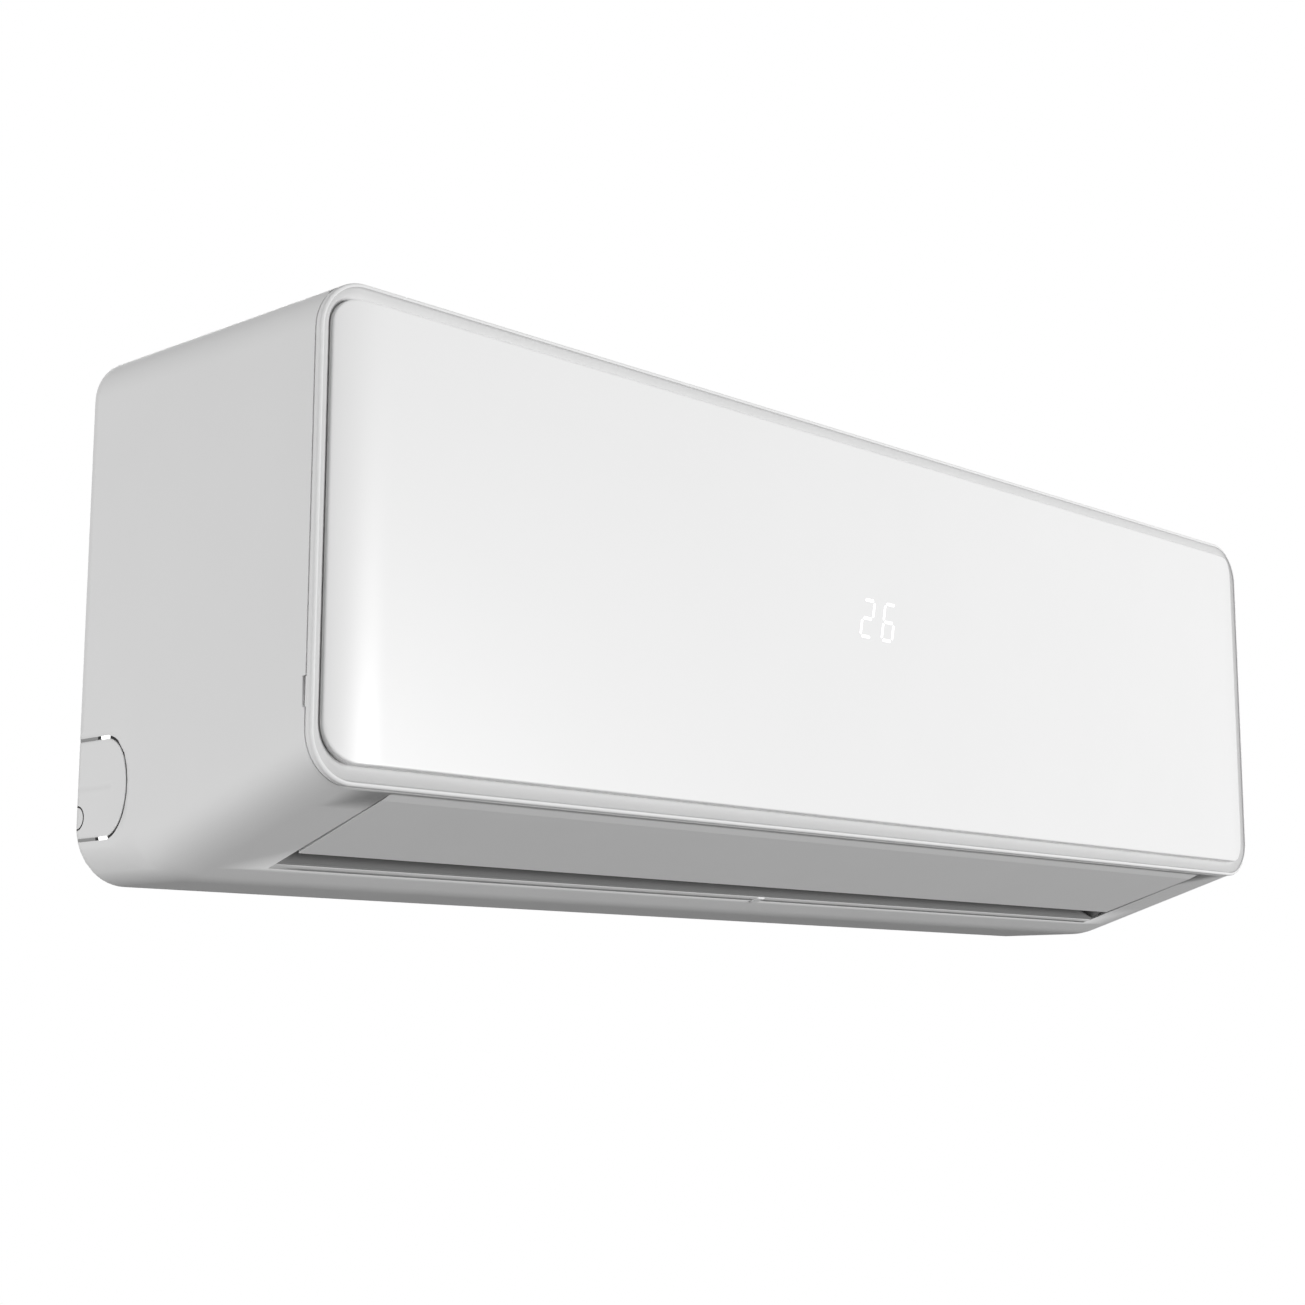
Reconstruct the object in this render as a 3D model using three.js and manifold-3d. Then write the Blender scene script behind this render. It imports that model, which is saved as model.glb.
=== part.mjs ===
// Wall-mounted indoor unit of a mini split air conditioner.
// Millimetres, +Z up, +X to the right when seen from the room, +Y towards the wall.
// The origin is the centre of the wall plate's back face, so the wall is the plane y = 0.
import * as THREE from 'three';
import { mergeVertices } from 'three/addons/utils/BufferGeometryUtils.js';
import Module from 'manifold-3d';

const wasm = await Module();
wasm.setup();

// ---------- driving dimensions ----------
const length = 860;
const height = 283.5;
const depth = 199;
const topZ = 142;
const wall = 2.5;
const gap = 0.3;
const seam = 0.4;
const cornerSteps = 6;

const frameRise = 245.1;
const frameThick = 4;
const panelProud = 5;
const frameTopRadius = 27;
const frameBottomRadius = 25.5;
const lipWidth = 2;
const trenchWidth = 7;
const trenchDepth = 2.6;
const panelTopInset = 10;
const panelBottomInset = 10;
const panelTopRadius = 14;
const panelBottomRadius = 19.5;
const panelEndFall = 5.5;
const panelEndRun = 32;
const windowInset = 28;
const windowTopInset = 34;
const windowBottomInset = 22;

const casingTopRadius = 27;
const casingBottomRadiusFront = 26;
const casingBottomRadiusBack = 30;
const flatStart = -67;

const endRoom = 57.5;
const outletClear = 3;
const ledgeFront = -95;
const ledgeBack = -89.6;
const outletSlot = 15.5;
const louverFrontClear = 0.5;
const louverThick = 3;
const louverEndClear = 1.1;
const louverBackClear = 1.9;
const louverPivotInset = 17.5;
const louverPivotLift = 8.9;
const louverPinRadius = 3;

const voluteRear = -36;
const fanToVolute = 14;
const fanToCoil = 10;
const floorRise = 28.42;
const fanRise = 73;
const panRise = 23.1;
const fanLeftClear = 14.5;
const fanRightClear = 8;
const fanDiscs = 4;
const fanBlades = 16;
const shaftRadius = 4;
const hubRadius = 12;
const hubReach = 3;
const bladeDepth = 12;

const plateThick = 2.4;
const discThick = 2.4;
const motorBay = 48.5;
const coilThick = 26;
const coilToPan = 24;
const coilFrontRise = 52;
const coilTopFoot = 70;
const coilTopShift = 6;
const coilRearFoot = 68;
const coilToVolute = 10;
const coilLeftClear = 20.5;
const coilRightClear = 18;
const coilFrontClear = 22.1;
const ridgeY = -100.5;
const ridgeHalf = 12.5;

const vaneCount = 6;
const vaneStart = 32;
const vaneEndClear = 40.5;
const vaneHeight = 27;
const vaneWidth = 30;
const vaneThick = 2;
const vanePinRadius = 2.5;
const vanePinLength = 3;
const tieOffset = 10;
const tieSize = 2.4;

const filterLeftClear = 5.5;
const filterRightClear = 7;
const filterBackY = -43;
const filterSplit = 2;
const filterThick = 3;
const filterRim = 7;
const filterRib = 2;
const grilleThick = 2.4;

const liquidPipeRadius = 3.2;
const gasPipeRadius = 4.8;
const motorRadius = 36;
const motorLength = 58;

// ---------- worked-out places ----------
const half = length / 2;
const bottomZ = topZ - height;
const panelFront = -depth;
const lipY = panelFront + panelProud;
const frameBack = lipY + frameThick;
const casingFront = frameBack + seam;
const casingBack = -0.5;
const frameBottomZ = topZ - frameRise;
const panelHalf = half - trenchWidth;
const panelTopZ = topZ - panelTopInset;
const panelBottomZ = frameBottomZ + panelBottomInset;
const trenchFloorY = lipY + trenchDepth;
const slopeTan = (frameBottomZ - bottomZ) / (flatStart - casingFront);
const undersideAt = (y) => (y < flatStart ? frameBottomZ - (y - casingFront) * slopeTan : bottomZ);
const ledgeZ = (y) => undersideAt(y) + wall / 2 * Math.hypot(1, slopeTan);
const insideFront = casingFront + wall;

const ductHalf = half - endRoom;
const outletHalf = ductHalf + outletClear;
const louverFront = insideFront + louverFrontClear;
const louverBack = ledgeFront - outletSlot;
const louverHalfFront = outletHalf - louverEndClear;
const louverHalfBack = ductHalf - louverBackClear;
const louverZAt = (y) => frameBottomZ - (y - casingFront) * slopeTan;
const louverPivotY = louverBack - louverPivotInset;
const louverPivotZ = louverZAt(louverPivotY) + louverPivotLift;

const partitionX = ductHalf - motorBay;
const coilLeft = -ductHalf + coilLeftClear;
const coilRight = partitionX - coilRightClear;
const coilFrontY = insideFront + coilFrontClear;
const fanRadius = (voluteRear - fanToVolute - fanToCoil - coilFrontY - coilThick / 2) / 2;
const fanY = voluteRear - fanToVolute - fanRadius;
const floorStart = [voluteRear - 24, ledgeZ(ledgeFront) + floorRise];
const fanZ = floorStart[1] + fanRise;
const panFloor = frameBottomZ + panRise;
const fanLeft = -ductHalf + fanLeftClear;
const fanRight = partitionX - fanRightClear;
const vanePitch = (ductHalf - vaneStart - vaneEndClear) / (vaneCount - 1);

// ---------- helpers ----------
function makeSolid(geometry) {
  const bare = geometry.index ? geometry.toNonIndexed() : geometry.clone();
  for (const name of Object.keys(bare.attributes)) {
    if (name !== 'position') bare.deleteAttribute(name);
  }
  const merged = mergeVertices(bare, 1e-4);
  const solid = new wasm.Manifold(new wasm.Mesh({
    numProp: 3,
    vertProperties: new Float32Array(merged.attributes.position.array),
    triVerts: new Uint32Array(merged.index.array),
  }));
  return solid;
}

function toGeometry(solid) {
  const mesh = solid.getMesh();
  const geometry = new THREE.BufferGeometry();
  geometry.setAttribute('position', new THREE.BufferAttribute(mesh.vertProperties, 3));
  geometry.setIndex(new THREE.BufferAttribute(mesh.triVerts, 1));
  return geometry;
}

function join(...solids) {
  return solids.reduce((sum, solid) => sum.add(solid));
}

function cut(solid, ...tools) {
  return tools.reduce((rest, tool) => rest.subtract(tool), solid);
}

function outline(points) {
  return new THREE.Shape(points.map(([u, v]) => new THREE.Vector2(u, v)));
}

// A shape drawn in (y, z) and carried from x0 to x1.
function alongX(shape, x0, x1, curveSegments = 6) {
  const geometry = new THREE.ExtrudeGeometry(shape, { depth: x1 - x0, bevelEnabled: false, curveSegments });
  const turn = new THREE.Matrix4().makeBasis(
    new THREE.Vector3(0, 1, 0), new THREE.Vector3(0, 0, 1), new THREE.Vector3(1, 0, 0));
  geometry.applyMatrix4(turn);
  geometry.translate(x0, 0, 0);
  return makeSolid(geometry);
}

// A shape drawn in (x, z) and carried from y0 to y1.
function alongY(shape, y0, y1, curveSegments = 6) {
  const geometry = new THREE.ExtrudeGeometry(shape, { depth: y1 - y0, bevelEnabled: false, curveSegments });
  geometry.rotateX(Math.PI / 2);
  geometry.translate(0, y1, 0);
  return makeSolid(geometry);
}

// A shape drawn in (x, y) and carried from z0 to z1.
function alongZ(shape, z0, z1, curveSegments = 6) {
  const geometry = new THREE.ExtrudeGeometry(shape, { depth: z1 - z0, bevelEnabled: false, curveSegments });
  geometry.translate(0, 0, z0);
  return makeSolid(geometry);
}

function block(x0, x1, y0, y1, z0, z1) {
  const geometry = new THREE.BoxGeometry(x1 - x0, y1 - y0, z1 - z0);
  geometry.translate((x0 + x1) / 2, (y0 + y1) / 2, (z0 + z1) / 2);
  return makeSolid(geometry);
}

function rodX(x0, x1, y, z, radius, sides = 16) {
  const geometry = new THREE.CylinderGeometry(radius, radius, x1 - x0, sides);
  geometry.rotateZ(Math.PI / 2);
  geometry.translate((x0 + x1) / 2, y, z);
  return makeSolid(geometry);
}

function rodY(y0, y1, x, z, radius, sides = 16) {
  const geometry = new THREE.CylinderGeometry(radius, radius, y1 - y0, sides);
  geometry.translate(x, (y0 + y1) / 2, z);
  return makeSolid(geometry);
}

function rodZ(z0, z1, x, y, radius, sides = 16) {
  const geometry = new THREE.CylinderGeometry(radius, radius, z1 - z0, sides);
  geometry.rotateX(Math.PI / 2);
  geometry.translate(x, y, (z0 + z1) / 2);
  return makeSolid(geometry);
}

function roundedShape(u0, u1, v0, v1, topRadius, bottomRadius) {
  const shape = new THREE.Shape();
  const up = Math.PI / 2;
  shape.moveTo(u0 + bottomRadius, v0);
  shape.lineTo(u1 - bottomRadius, v0);
  shape.absarc(u1 - bottomRadius, v0 + bottomRadius, bottomRadius, -up, 0, false);
  shape.lineTo(u1, v1 - topRadius);
  shape.absarc(u1 - topRadius, v1 - topRadius, topRadius, 0, up, false);
  shape.lineTo(u0 + topRadius, v1);
  shape.absarc(u0 + topRadius, v1 - topRadius, topRadius, up, 2 * up, false);
  shape.lineTo(u0, v0 + bottomRadius);
  shape.absarc(u0 + bottomRadius, v0 + bottomRadius, bottomRadius, 2 * up, 3 * up, false);
  return shape;
}

// The outline of a bent sheet: its centre line moved half a thickness to each side.
function sheetOutline(path, thickness) {
  const left = [];
  const right = [];
  path.forEach(([u, v], i) => {
    const before = path[Math.max(i - 1, 0)];
    const after = path[Math.min(i + 1, path.length - 1)];
    const d1 = new THREE.Vector2(u - before[0], v - before[1]).normalize();
    const d2 = new THREE.Vector2(after[0] - u, after[1] - v).normalize();
    if (i === 0) d1.copy(d2);
    if (i === path.length - 1) d2.copy(d1);
    const mean = d1.clone().add(d2).normalize();
    const reach = thickness / 2 / Math.max(mean.dot(d1), 0.5);
    left.push([u - mean.y * reach, v + mean.x * reach]);
    right.unshift([u + mean.y * reach, v - mean.x * reach]);
  });
  return outline([...left, ...right]);
}

// A closed skin through sections that have as many points each.
function loft(sections) {
  const count = sections[0].length;
  const position = sections.flat(2);
  const index = [];
  for (let i = 0; i + 1 < sections.length; i += 1) {
    for (let j = 0; j < count; j += 1) {
      const a = i * count + j;
      const b = i * count + (j + 1) % count;
      index.push(a, a + count, b, b, a + count, b + count);
    }
  }
  const last = (sections.length - 1) * count;
  for (let j = 1; j + 1 < count; j += 1) {
    index.push(0, j, j + 1, last, last + j + 1, last + j);
  }
  const geometry = new THREE.BufferGeometry();
  geometry.setAttribute('position', new THREE.Float32BufferAttribute(position, 3));
  geometry.setIndex(index);
  return makeSolid(geometry);
}

// Points round a rectangle with rounded corners, in a plane of constant y.
function roundedSection(y, side, low, high, topRadius, bottomRadius) {
  const corners = [[side - bottomRadius, low + bottomRadius, bottomRadius, -90],
    [side - topRadius, high - topRadius, topRadius, 0], [topRadius - side, high - topRadius, topRadius, 90],
    [bottomRadius - side, low + bottomRadius, bottomRadius, 180]];
  return corners.flatMap(([x, z, radius, start]) => range(cornerSteps + 1).map((i) => {
    const angle = THREE.MathUtils.degToRad(start + 90 * i / cornerSteps);
    return [x + radius * Math.cos(angle), y, z + radius * Math.sin(angle)];
  }));
}

function tube(points, radius, steps, sides = 10, closedPath = false) {
  const path = new THREE.CatmullRomCurve3(
    points.map(([x, y, z]) => new THREE.Vector3(x, y, z)), closedPath, 'catmullrom', 0.35);
  const section = new THREE.Shape();
  for (let i = 0; i < sides; i += 1) {
    const angle = 2 * Math.PI * i / sides;
    const u = radius * Math.cos(angle);
    const v = radius * Math.sin(angle);
    if (i === 0) section.moveTo(u, v);
    else section.lineTo(u, v);
  }
  return makeSolid(new THREE.ExtrudeGeometry(section, { steps, extrudePath: path, bevelEnabled: false }));
}

function range(count) {
  return Array.from({ length: count }, (unused, i) => i);
}

const finishes = {
  whitePlastic: { color: 0xebebeb, roughness: 0.45, metalness: 0 },
  greyPlastic: { color: 0xc9cacb, roughness: 0.55, metalness: 0 },
  darkPlastic: { color: 0x55585b, roughness: 0.6, metalness: 0 },
  blackPlastic: { color: 0x2c2d2f, roughness: 0.6, metalness: 0 },
  steel: { color: 0xb9bcbe, roughness: 0.4, metalness: 0.9 },
  aluminium: { color: 0xc8ccd0, roughness: 0.35, metalness: 0.9 },
  copper: { color: 0xb87046, roughness: 0.35, metalness: 0.9 },
  brass: { color: 0xb9974a, roughness: 0.35, metalness: 0.9 },
  circuit: { color: 0x2f6a45, roughness: 0.6, metalness: 0 },
  rubber: { color: 0x303030, roughness: 0.9, metalness: 0 },
};

const unit = new THREE.Group();

function addPiece(parent, name, solid, finish) {
  const mesh = new THREE.Mesh(toGeometry(solid), new THREE.MeshStandardMaterial(finishes[finish]));
  mesh.name = name;
  parent.add(mesh);
  return mesh;
}

// ---------- casing ----------
const undersideStations = [casingFront, flatStart - 10, flatStart, flatStart + 8, casingBack];

function casingSection(y, inset) {
  const share = THREE.MathUtils.clamp((y - casingFront) / (casingBack - casingFront), 0, 1);
  const bottomRadius = THREE.MathUtils.lerp(casingBottomRadiusFront, casingBottomRadiusBack, share) - inset;
  return roundedSection(y, half - inset, undersideAt(y) + inset, topZ - inset, casingTopRadius - inset,
    bottomRadius);
}

function casingBody(inset, front, back) {
  const stations = [front, ...undersideStations.slice(1, -1), back];
  return loft(stations.map((y) => casingSection(y, inset).map(([x, , z]) => [x, y, z])));
}

const windowHalf = half - windowInset;
const windowTop = topZ - windowTopInset;
const windowBottom = frameBottomZ + windowBottomInset;
const hingeY = frameBack - 0.6;
const hingeZ = topZ - 3.2;
const hingeRadius = 1;
const hingeHalf = 12;
const hingeX = half - 130;
const latchX = half - 100;
const latchZ = windowBottom - 6;
const hingeRelief = 3;
const earRadius = 1.9;
const earHalf = 6;
const filterTopZ = topZ - gap;
const filterBottomZ = filterTopZ - filterThick;
const grilleTopZ = filterBottomZ - gap;
const filterFrontY = coilFrontY;
const filterLeftX = -ductHalf + filterLeftClear;
const filterRightX = partitionX + filterRightClear;
const filterLength = (filterRightX - filterLeftX - filterSplit) / 2;
const grilleFlange = 5;

const notchZ = topZ - 201.5;
const notchHeight = 15;
const notchLength = 3;
const pipeCoverTop = bottomZ + 74;
const pipeCoverBottom = bottomZ + 22;
const pipeCoverFront = -45;
const pipeCoverStraight = -27;
const knockoutZ = bottomZ + 33.5;
const knockoutRadius = 6;

function pipeCoverShape(inset) {
  const shape = new THREE.Shape();
  const top = pipeCoverTop - inset;
  const bottom = pipeCoverBottom + inset;
  const straight = pipeCoverStraight;
  const nose = pipeCoverFront + inset;
  const middle = (top + bottom) / 2;
  shape.moveTo(casingBack, top);
  shape.lineTo(straight, top);
  shape.quadraticCurveTo(nose + 1, top - 3, nose, middle);
  shape.quadraticCurveTo(nose + 1, bottom + 3, straight, bottom);
  shape.lineTo(casingBack, bottom);
  shape.closePath();
  return shape;
}

const casingOuter = casingBody(0, casingFront, casingBack);
const casingInner = casingBody(wall, insideFront, casingBack + 5);
let casing = casingOuter.subtract(casingInner);
casing = cut(casing,
  block(-windowHalf, windowHalf, casingFront - 1, insideFront + 1, windowBottom, windowTop),
  block(-outletHalf, outletHalf, insideFront + 0.05, ledgeBack + 0.7, bottomZ - 5, frameBottomZ + 3),
  block(-half + 14, half - 14, casingFront - 1, casingFront + hingeRelief, hingeZ - 3, topZ + 1),
  block(filterLeftX - gap, filterRightX + gap, filterFrontY - gap, filterBackY + gap,
    topZ - wall - 1, topZ + 1));
const grilleTray = cut(
  block(filterLeftX - gap - wall, filterRightX + gap + wall, filterFrontY - gap - wall,
    filterBackY + gap + wall, grilleTopZ - grilleThick - gap - 1, topZ - wall + 0.2),
  block(filterLeftX - gap, filterRightX + gap, filterFrontY - gap, filterBackY + gap,
    grilleTopZ - grilleThick - gap - 2, topZ + 1));
casing = casing.add(grilleTray);
const grilleShelf = cut(
  block(filterLeftX - gap - 1, filterRightX + gap + 1, filterFrontY - gap - 1, filterBackY + gap + 1,
    grilleTopZ - grilleThick - gap - wall, grilleTopZ - grilleThick - gap),
  block(filterLeftX + grilleFlange, filterRightX - grilleFlange, filterFrontY + grilleFlange,
    filterBackY - grilleFlange, grilleTopZ - 20, topZ));
casing = casing.add(grilleShelf);
for (const side of [-1, 1]) {
  const x0 = side < 0 ? -half - 1 : half - wall - 1;
  casing = cut(casing,
    alongX(pipeCoverShape(-gap), x0, x0 + wall + 2),
    block(x0, x0 + wall + 2, casingFront - 1, casingFront + notchLength, notchZ - notchHeight / 2,
      notchZ + notchHeight / 2));
  const earX = side * hingeX;
  casing = casing.add(cut(
    join(rodX(earX - earHalf, earX + earHalf, hingeY, hingeZ, earRadius, 14),
      block(earX - earHalf, earX + earHalf, casingFront + 0.1, insideFront, hingeZ - 6, hingeZ)),
    rodX(earX - hingeHalf, earX + hingeHalf, hingeY, hingeZ, hingeRadius + gap)));
}
for (const x of [-latchX, latchX]) {
  casing = cut(casing, block(x - 5, x + 5, casingFront - 1, insideFront + 1, latchZ - 3.5, latchZ + 2.5));
}
addPiece(unit, 'casing', casing, 'whitePlastic');

// Side covers over the pipe openings, each with a small round break-out at its back edge.
for (const [name, side] of [['pipe_cover_left', -1], ['pipe_cover_right', 1]]) {
  const x0 = side < 0 ? -half : half - wall;
  const upperSlot = roundedShape(-34, -18, pipeCoverTop - 2.2, pipeCoverTop + 1, 0.5, 0.5);
  const lowerSlot = roundedShape(-30, -18, pipeCoverBottom - 1, pipeCoverBottom + 1.4, 0.5, 0.5);
  const cover = cut(alongX(pipeCoverShape(gap), x0, x0 + wall),
    alongX(upperSlot, x0 - 1, x0 + wall + 1, 2), alongX(lowerSlot, x0 - 1, x0 + wall + 1, 2));
  const ring = cut(rodX(x0 - 1, x0 + wall - 1.2, casingBack, knockoutZ, knockoutRadius, 20),
    rodX(x0 - 2, x0 + wall, casingBack, knockoutZ, knockoutRadius - 0.8, 20));
  const score = side < 0 ? ring : ring.translate([2.2, 0, 0]);
  addPiece(unit, name, cover.subtract(score), 'whitePlastic');
}

// ---------- intake grille and filters on the top ----------
function grid(x0, x1, y0, y1, z0, z1, rim, rib, columns, rows) {
  let solid = block(x0, x1, y0, y1, z0, z1);
  const stepX = (x1 - x0 - 2 * rim + rib) / columns;
  const stepY = (y1 - y0 - 2 * rim + rib) / rows;
  for (const i of range(columns)) {
    for (const j of range(rows)) {
      const u = x0 + rim + i * stepX;
      const v = y0 + rim + j * stepY;
      solid = solid.subtract(block(u, u + stepX - rib, v, v + stepY - rib, z0 - 1, z1 + 1));
    }
  }
  return solid;
}

addPiece(unit, 'intake_grille', grid(filterLeftX, filterRightX, filterFrontY, filterBackY,
  grilleTopZ - grilleThick, grilleTopZ, grilleFlange + 3, 3, 22, 1), 'whitePlastic');
for (const [name, x0] of [['filter_left', filterLeftX], ['filter_right', filterRightX - filterLength]]) {
  addPiece(unit, name, grid(x0 + gap, x0 + filterLength - gap, filterFrontY + gap, filterBackY - gap,
    filterBottomZ, filterTopZ, filterRim, filterRib, 9, 2), 'greyPlastic');
}

// ---------- door: frame, panel, hinge pins, latches, display ----------
const door = new THREE.Group();
const frameShape = roundedShape(-half, half, frameBottomZ, topZ, frameTopRadius, frameBottomRadius);
let frame = alongY(frameShape, lipY, frameBack);
const panelClear = 0.3;
const lipInner = (y) => roundedSection(y, half - lipWidth, frameBottomZ + lipWidth, topZ - lipWidth,
  frameTopRadius - lipWidth, frameBottomRadius - lipWidth);
frame = frame.subtract(loft([lipInner(lipY - 1), lipInner(lipY),
  roundedSection(trenchFloorY, panelHalf + panelClear, panelBottomZ - panelClear, panelTopZ + panelClear,
    panelTopRadius + panelClear, panelBottomRadius + panelClear)]));
const displayX = -9.5;
const displayZ = topZ - 114.5;
const displayWidth = 60;
const displayHeight = 38;
const displayLeft = displayX - displayWidth / 2;
const displayRight = displayX + displayWidth / 2;
const displayLow = displayZ - displayHeight / 2;
const displayTop = displayZ + displayHeight / 2;
frame = frame.subtract(block(displayLeft, displayRight, lipY - 1, frameBack + 1, displayLow, displayTop));
for (const side of [-1, 1]) {
  const pocket = [side * hingeX - earHalf - gap, side * hingeX + earHalf + gap];
  frame = cut(frame, rodX(...pocket, hingeY, hingeZ, earRadius + gap, 14),
    block(...pocket, hingeY, frameBack + 1, hingeZ - earRadius - gap, hingeZ + earRadius + gap),
    rodX(side * hingeX - hingeHalf - gap, side * hingeX + hingeHalf + gap, hingeY, hingeZ,
      hingeRadius + gap, 12));
}
addPiece(door, 'panel_frame', frame, 'whitePlastic');

const panelShape = roundedShape(-panelHalf, panelHalf, panelBottomZ, panelTopZ, panelTopRadius,
  panelBottomRadius);
const panelBack = trenchFloorY - gap;
const pillow = [[-panelHalf - 1, panelBack + 1], [-panelHalf - 1, panelFront + panelEndFall * 1.06]];
for (const i of range(7)) {
  const run = 1 - i / 6;
  pillow.push([-panelHalf + panelEndRun * (1 - run), panelFront + panelEndFall * run * run]);
}
for (const i of range(7)) {
  const run = i / 6;
  pillow.push([panelHalf - panelEndRun * (1 - run), panelFront + panelEndFall * run * run]);
}
pillow.push([panelHalf + 1, panelFront + panelEndFall * 1.06], [panelHalf + 1, panelBack + 1]);
const panel = alongY(panelShape, panelFront - 1, panelBack)
  .intersect(alongZ(outline(pillow), panelBottomZ - 5, panelTopZ + 5));
const pocketRim = 3;
const displayPocket = block(displayLeft + pocketRim, displayRight - pocketRim, panelFront + 2, panelBack + 1,
  displayLow + pocketRim, displayTop - pocketRim);
addPiece(door, 'front_panel', panel.subtract(displayPocket), 'whitePlastic');

// Seven-segment digits stand on the display housing, behind the thin skin of the panel.
const digitHeight = 26;
const digitWidth = 12.5;
const digitStroke = 2;
const segmentsOfDigit = { 2: 'abged', 6: 'afgedc' };
function digitSegments(digit, x0, z0, y0, y1) {
  const midZ = z0 + digitHeight / 2;
  const x1 = x0 + digitWidth;
  const places = {
    a: [x0 + 1, x1 - 1, z0 + digitHeight - digitStroke, z0 + digitHeight],
    g: [x0 + 1, x1 - 1, midZ - digitStroke / 2, midZ + digitStroke / 2],
    d: [x0 + 1, x1 - 1, z0, z0 + digitStroke],
    f: [x0, x0 + digitStroke, midZ + 1.4, z0 + digitHeight - 2.4],
    b: [x1 - digitStroke, x1, midZ + 1.4, z0 + digitHeight - 2.4],
    e: [x0, x0 + digitStroke, z0 + 2.4, midZ - 1.4],
    c: [x1 - digitStroke, x1, z0 + 2.4, midZ - 1.4],
  };
  return [...segmentsOfDigit[digit]].map((key) => {
    const [u0, u1, v0, v1] = places[key];
    return block(u0, u1, y0, y1, v0, v1);
  });
}
const displayBack = frameBack - gap;
const displayFace = panelBack - 1.5;
const faceInset = pocketRim + 1;
let display = block(displayLeft + gap, displayRight - gap, panelBack + gap, displayBack,
  displayLow + gap, displayTop - gap);
display = display.add(block(displayLeft + faceInset, displayRight - faceInset, displayFace, panelBack + 1,
  displayLow + faceInset, displayTop - faceInset));
for (const [digit, x0] of [[2, -27.4], [6, -4.6]]) {
  display = join(display,
    ...digitSegments(digit, x0, displayZ - digitHeight / 2, displayFace - 1, displayFace + 0.5));
}
addPiece(door, 'display_module', display, 'blackPlastic');

for (const [name, side] of [['hinge_pin_left', -1], ['hinge_pin_right', 1]]) {
  const pinX = side * hingeX;
  addPiece(door, name, rodX(pinX - hingeHalf, pinX + hingeHalf, hingeY, hingeZ, hingeRadius, 12), 'steel');
}
for (const [name, side] of [['panel_latch_left', -1], ['panel_latch_right', 1]]) {
  const x = side * latchX;
  const latch = join(
    block(x - 4, x + 4, frameBack + gap, insideFront + 3, latchZ - 2.2, latchZ + 1.4),
    block(x - 4, x + 4, insideFront + gap, insideFront + 3, latchZ - 2.7, latchZ + 1.4));
  addPiece(door, name, latch, 'greyPlastic');
}
unit.add(door);

// ---------- chassis with the air passage ----------
const backPlateY = -3.5;
const backPlateTop = topZ - 16;
const voluteTop = fanZ + 44;
const ridgeZ = topZ - 31;
const shoulderZ = topZ - 80;
const floorEnd = [ledgeFront + 0.4, ledgeZ(ledgeFront)];
const sweepTop = fanZ - 18;
const sweepZ = (share) => THREE.MathUtils.lerp(sweepTop, floorStart[1], share);
const volute = [[voluteRear - 2, voluteTop], [voluteRear, fanZ + 12], [voluteRear - 1, sweepTop],
  [voluteRear - 7, sweepZ(0.473)], [voluteRear - 15, sweepZ(0.782)]];
const chassisPath = [[backPlateY, backPlateTop], [backPlateY, voluteTop], ...volute, floorStart, floorEnd,
  [ledgeBack, ledgeZ(ledgeBack)]];
let chassis = alongX(sheetOutline(chassisPath, wall), -ductHalf, ductHalf);
const plateFrontY = insideFront + 6;
const aboveLouver = (y) => undersideAt(y) + louverThick + 2.4;
const bevelY = coilFrontY + 15;
const endOutline = [[backPlateY - wall / 2, backPlateTop], [bevelY, backPlateTop], [plateFrontY, shoulderZ],
  [plateFrontY, aboveLouver(plateFrontY)], [louverBack - 4, aboveLouver(louverBack - 4)],
  [ledgeFront - 6, ledgeZ(ledgeFront - 6)], [ledgeBack, ledgeZ(ledgeBack)],
  [ledgeBack, ledgeZ(ledgeBack) + wall], [floorStart[0] + 2, bottomZ + 23.5],
  [voluteRear + 6, fanZ - 30], [backPlateY - wall / 2, voluteTop]];
const leftPlate = alongX(outline(endOutline), -ductHalf - plateThick, -ductHalf + 0.2);
const rightTop = panFloor - 6;
const rightOutline = [[plateFrontY, rightTop], [plateFrontY, aboveLouver(plateFrontY)],
  [louverBack - 4, aboveLouver(louverBack - 4)], [ledgeFront - 6, ledgeZ(ledgeFront - 6)],
  [ledgeBack, ledgeZ(ledgeBack)], [ledgeBack, ledgeZ(ledgeBack) + wall],
  [floorStart[0] + 10, floorStart[1] - 7], [voluteRear, rightTop]];
const rightPlate = alongX(outline(rightOutline), ductHalf - 0.2, ductHalf + plateThick);
const partitionOutline = [[backPlateY, backPlateTop], [bevelY, backPlateTop], [plateFrontY, shoulderZ],
  [plateFrontY, panFloor + 26], [fanY - 47, panFloor + 26], [fanY - 24, fanZ - 54],
  [voluteRear - 9, fanZ - 54], [voluteRear, fanZ - 18], [voluteRear, voluteTop], [backPlateY, voluteTop]];
const partition = alongX(outline(partitionOutline), partitionX, partitionX + plateThick);
chassis = join(chassis, leftPlate, rightPlate, partition);
const bearingSeat = 15;
chassis = cut(chassis,
  rodX(-ductHalf - 10, -ductHalf + 5, fanY, fanZ, bearingSeat + gap, 20),
  rodX(partitionX - 5, partitionX + 10, fanY, fanZ, bearingSeat + gap, 20));

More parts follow.
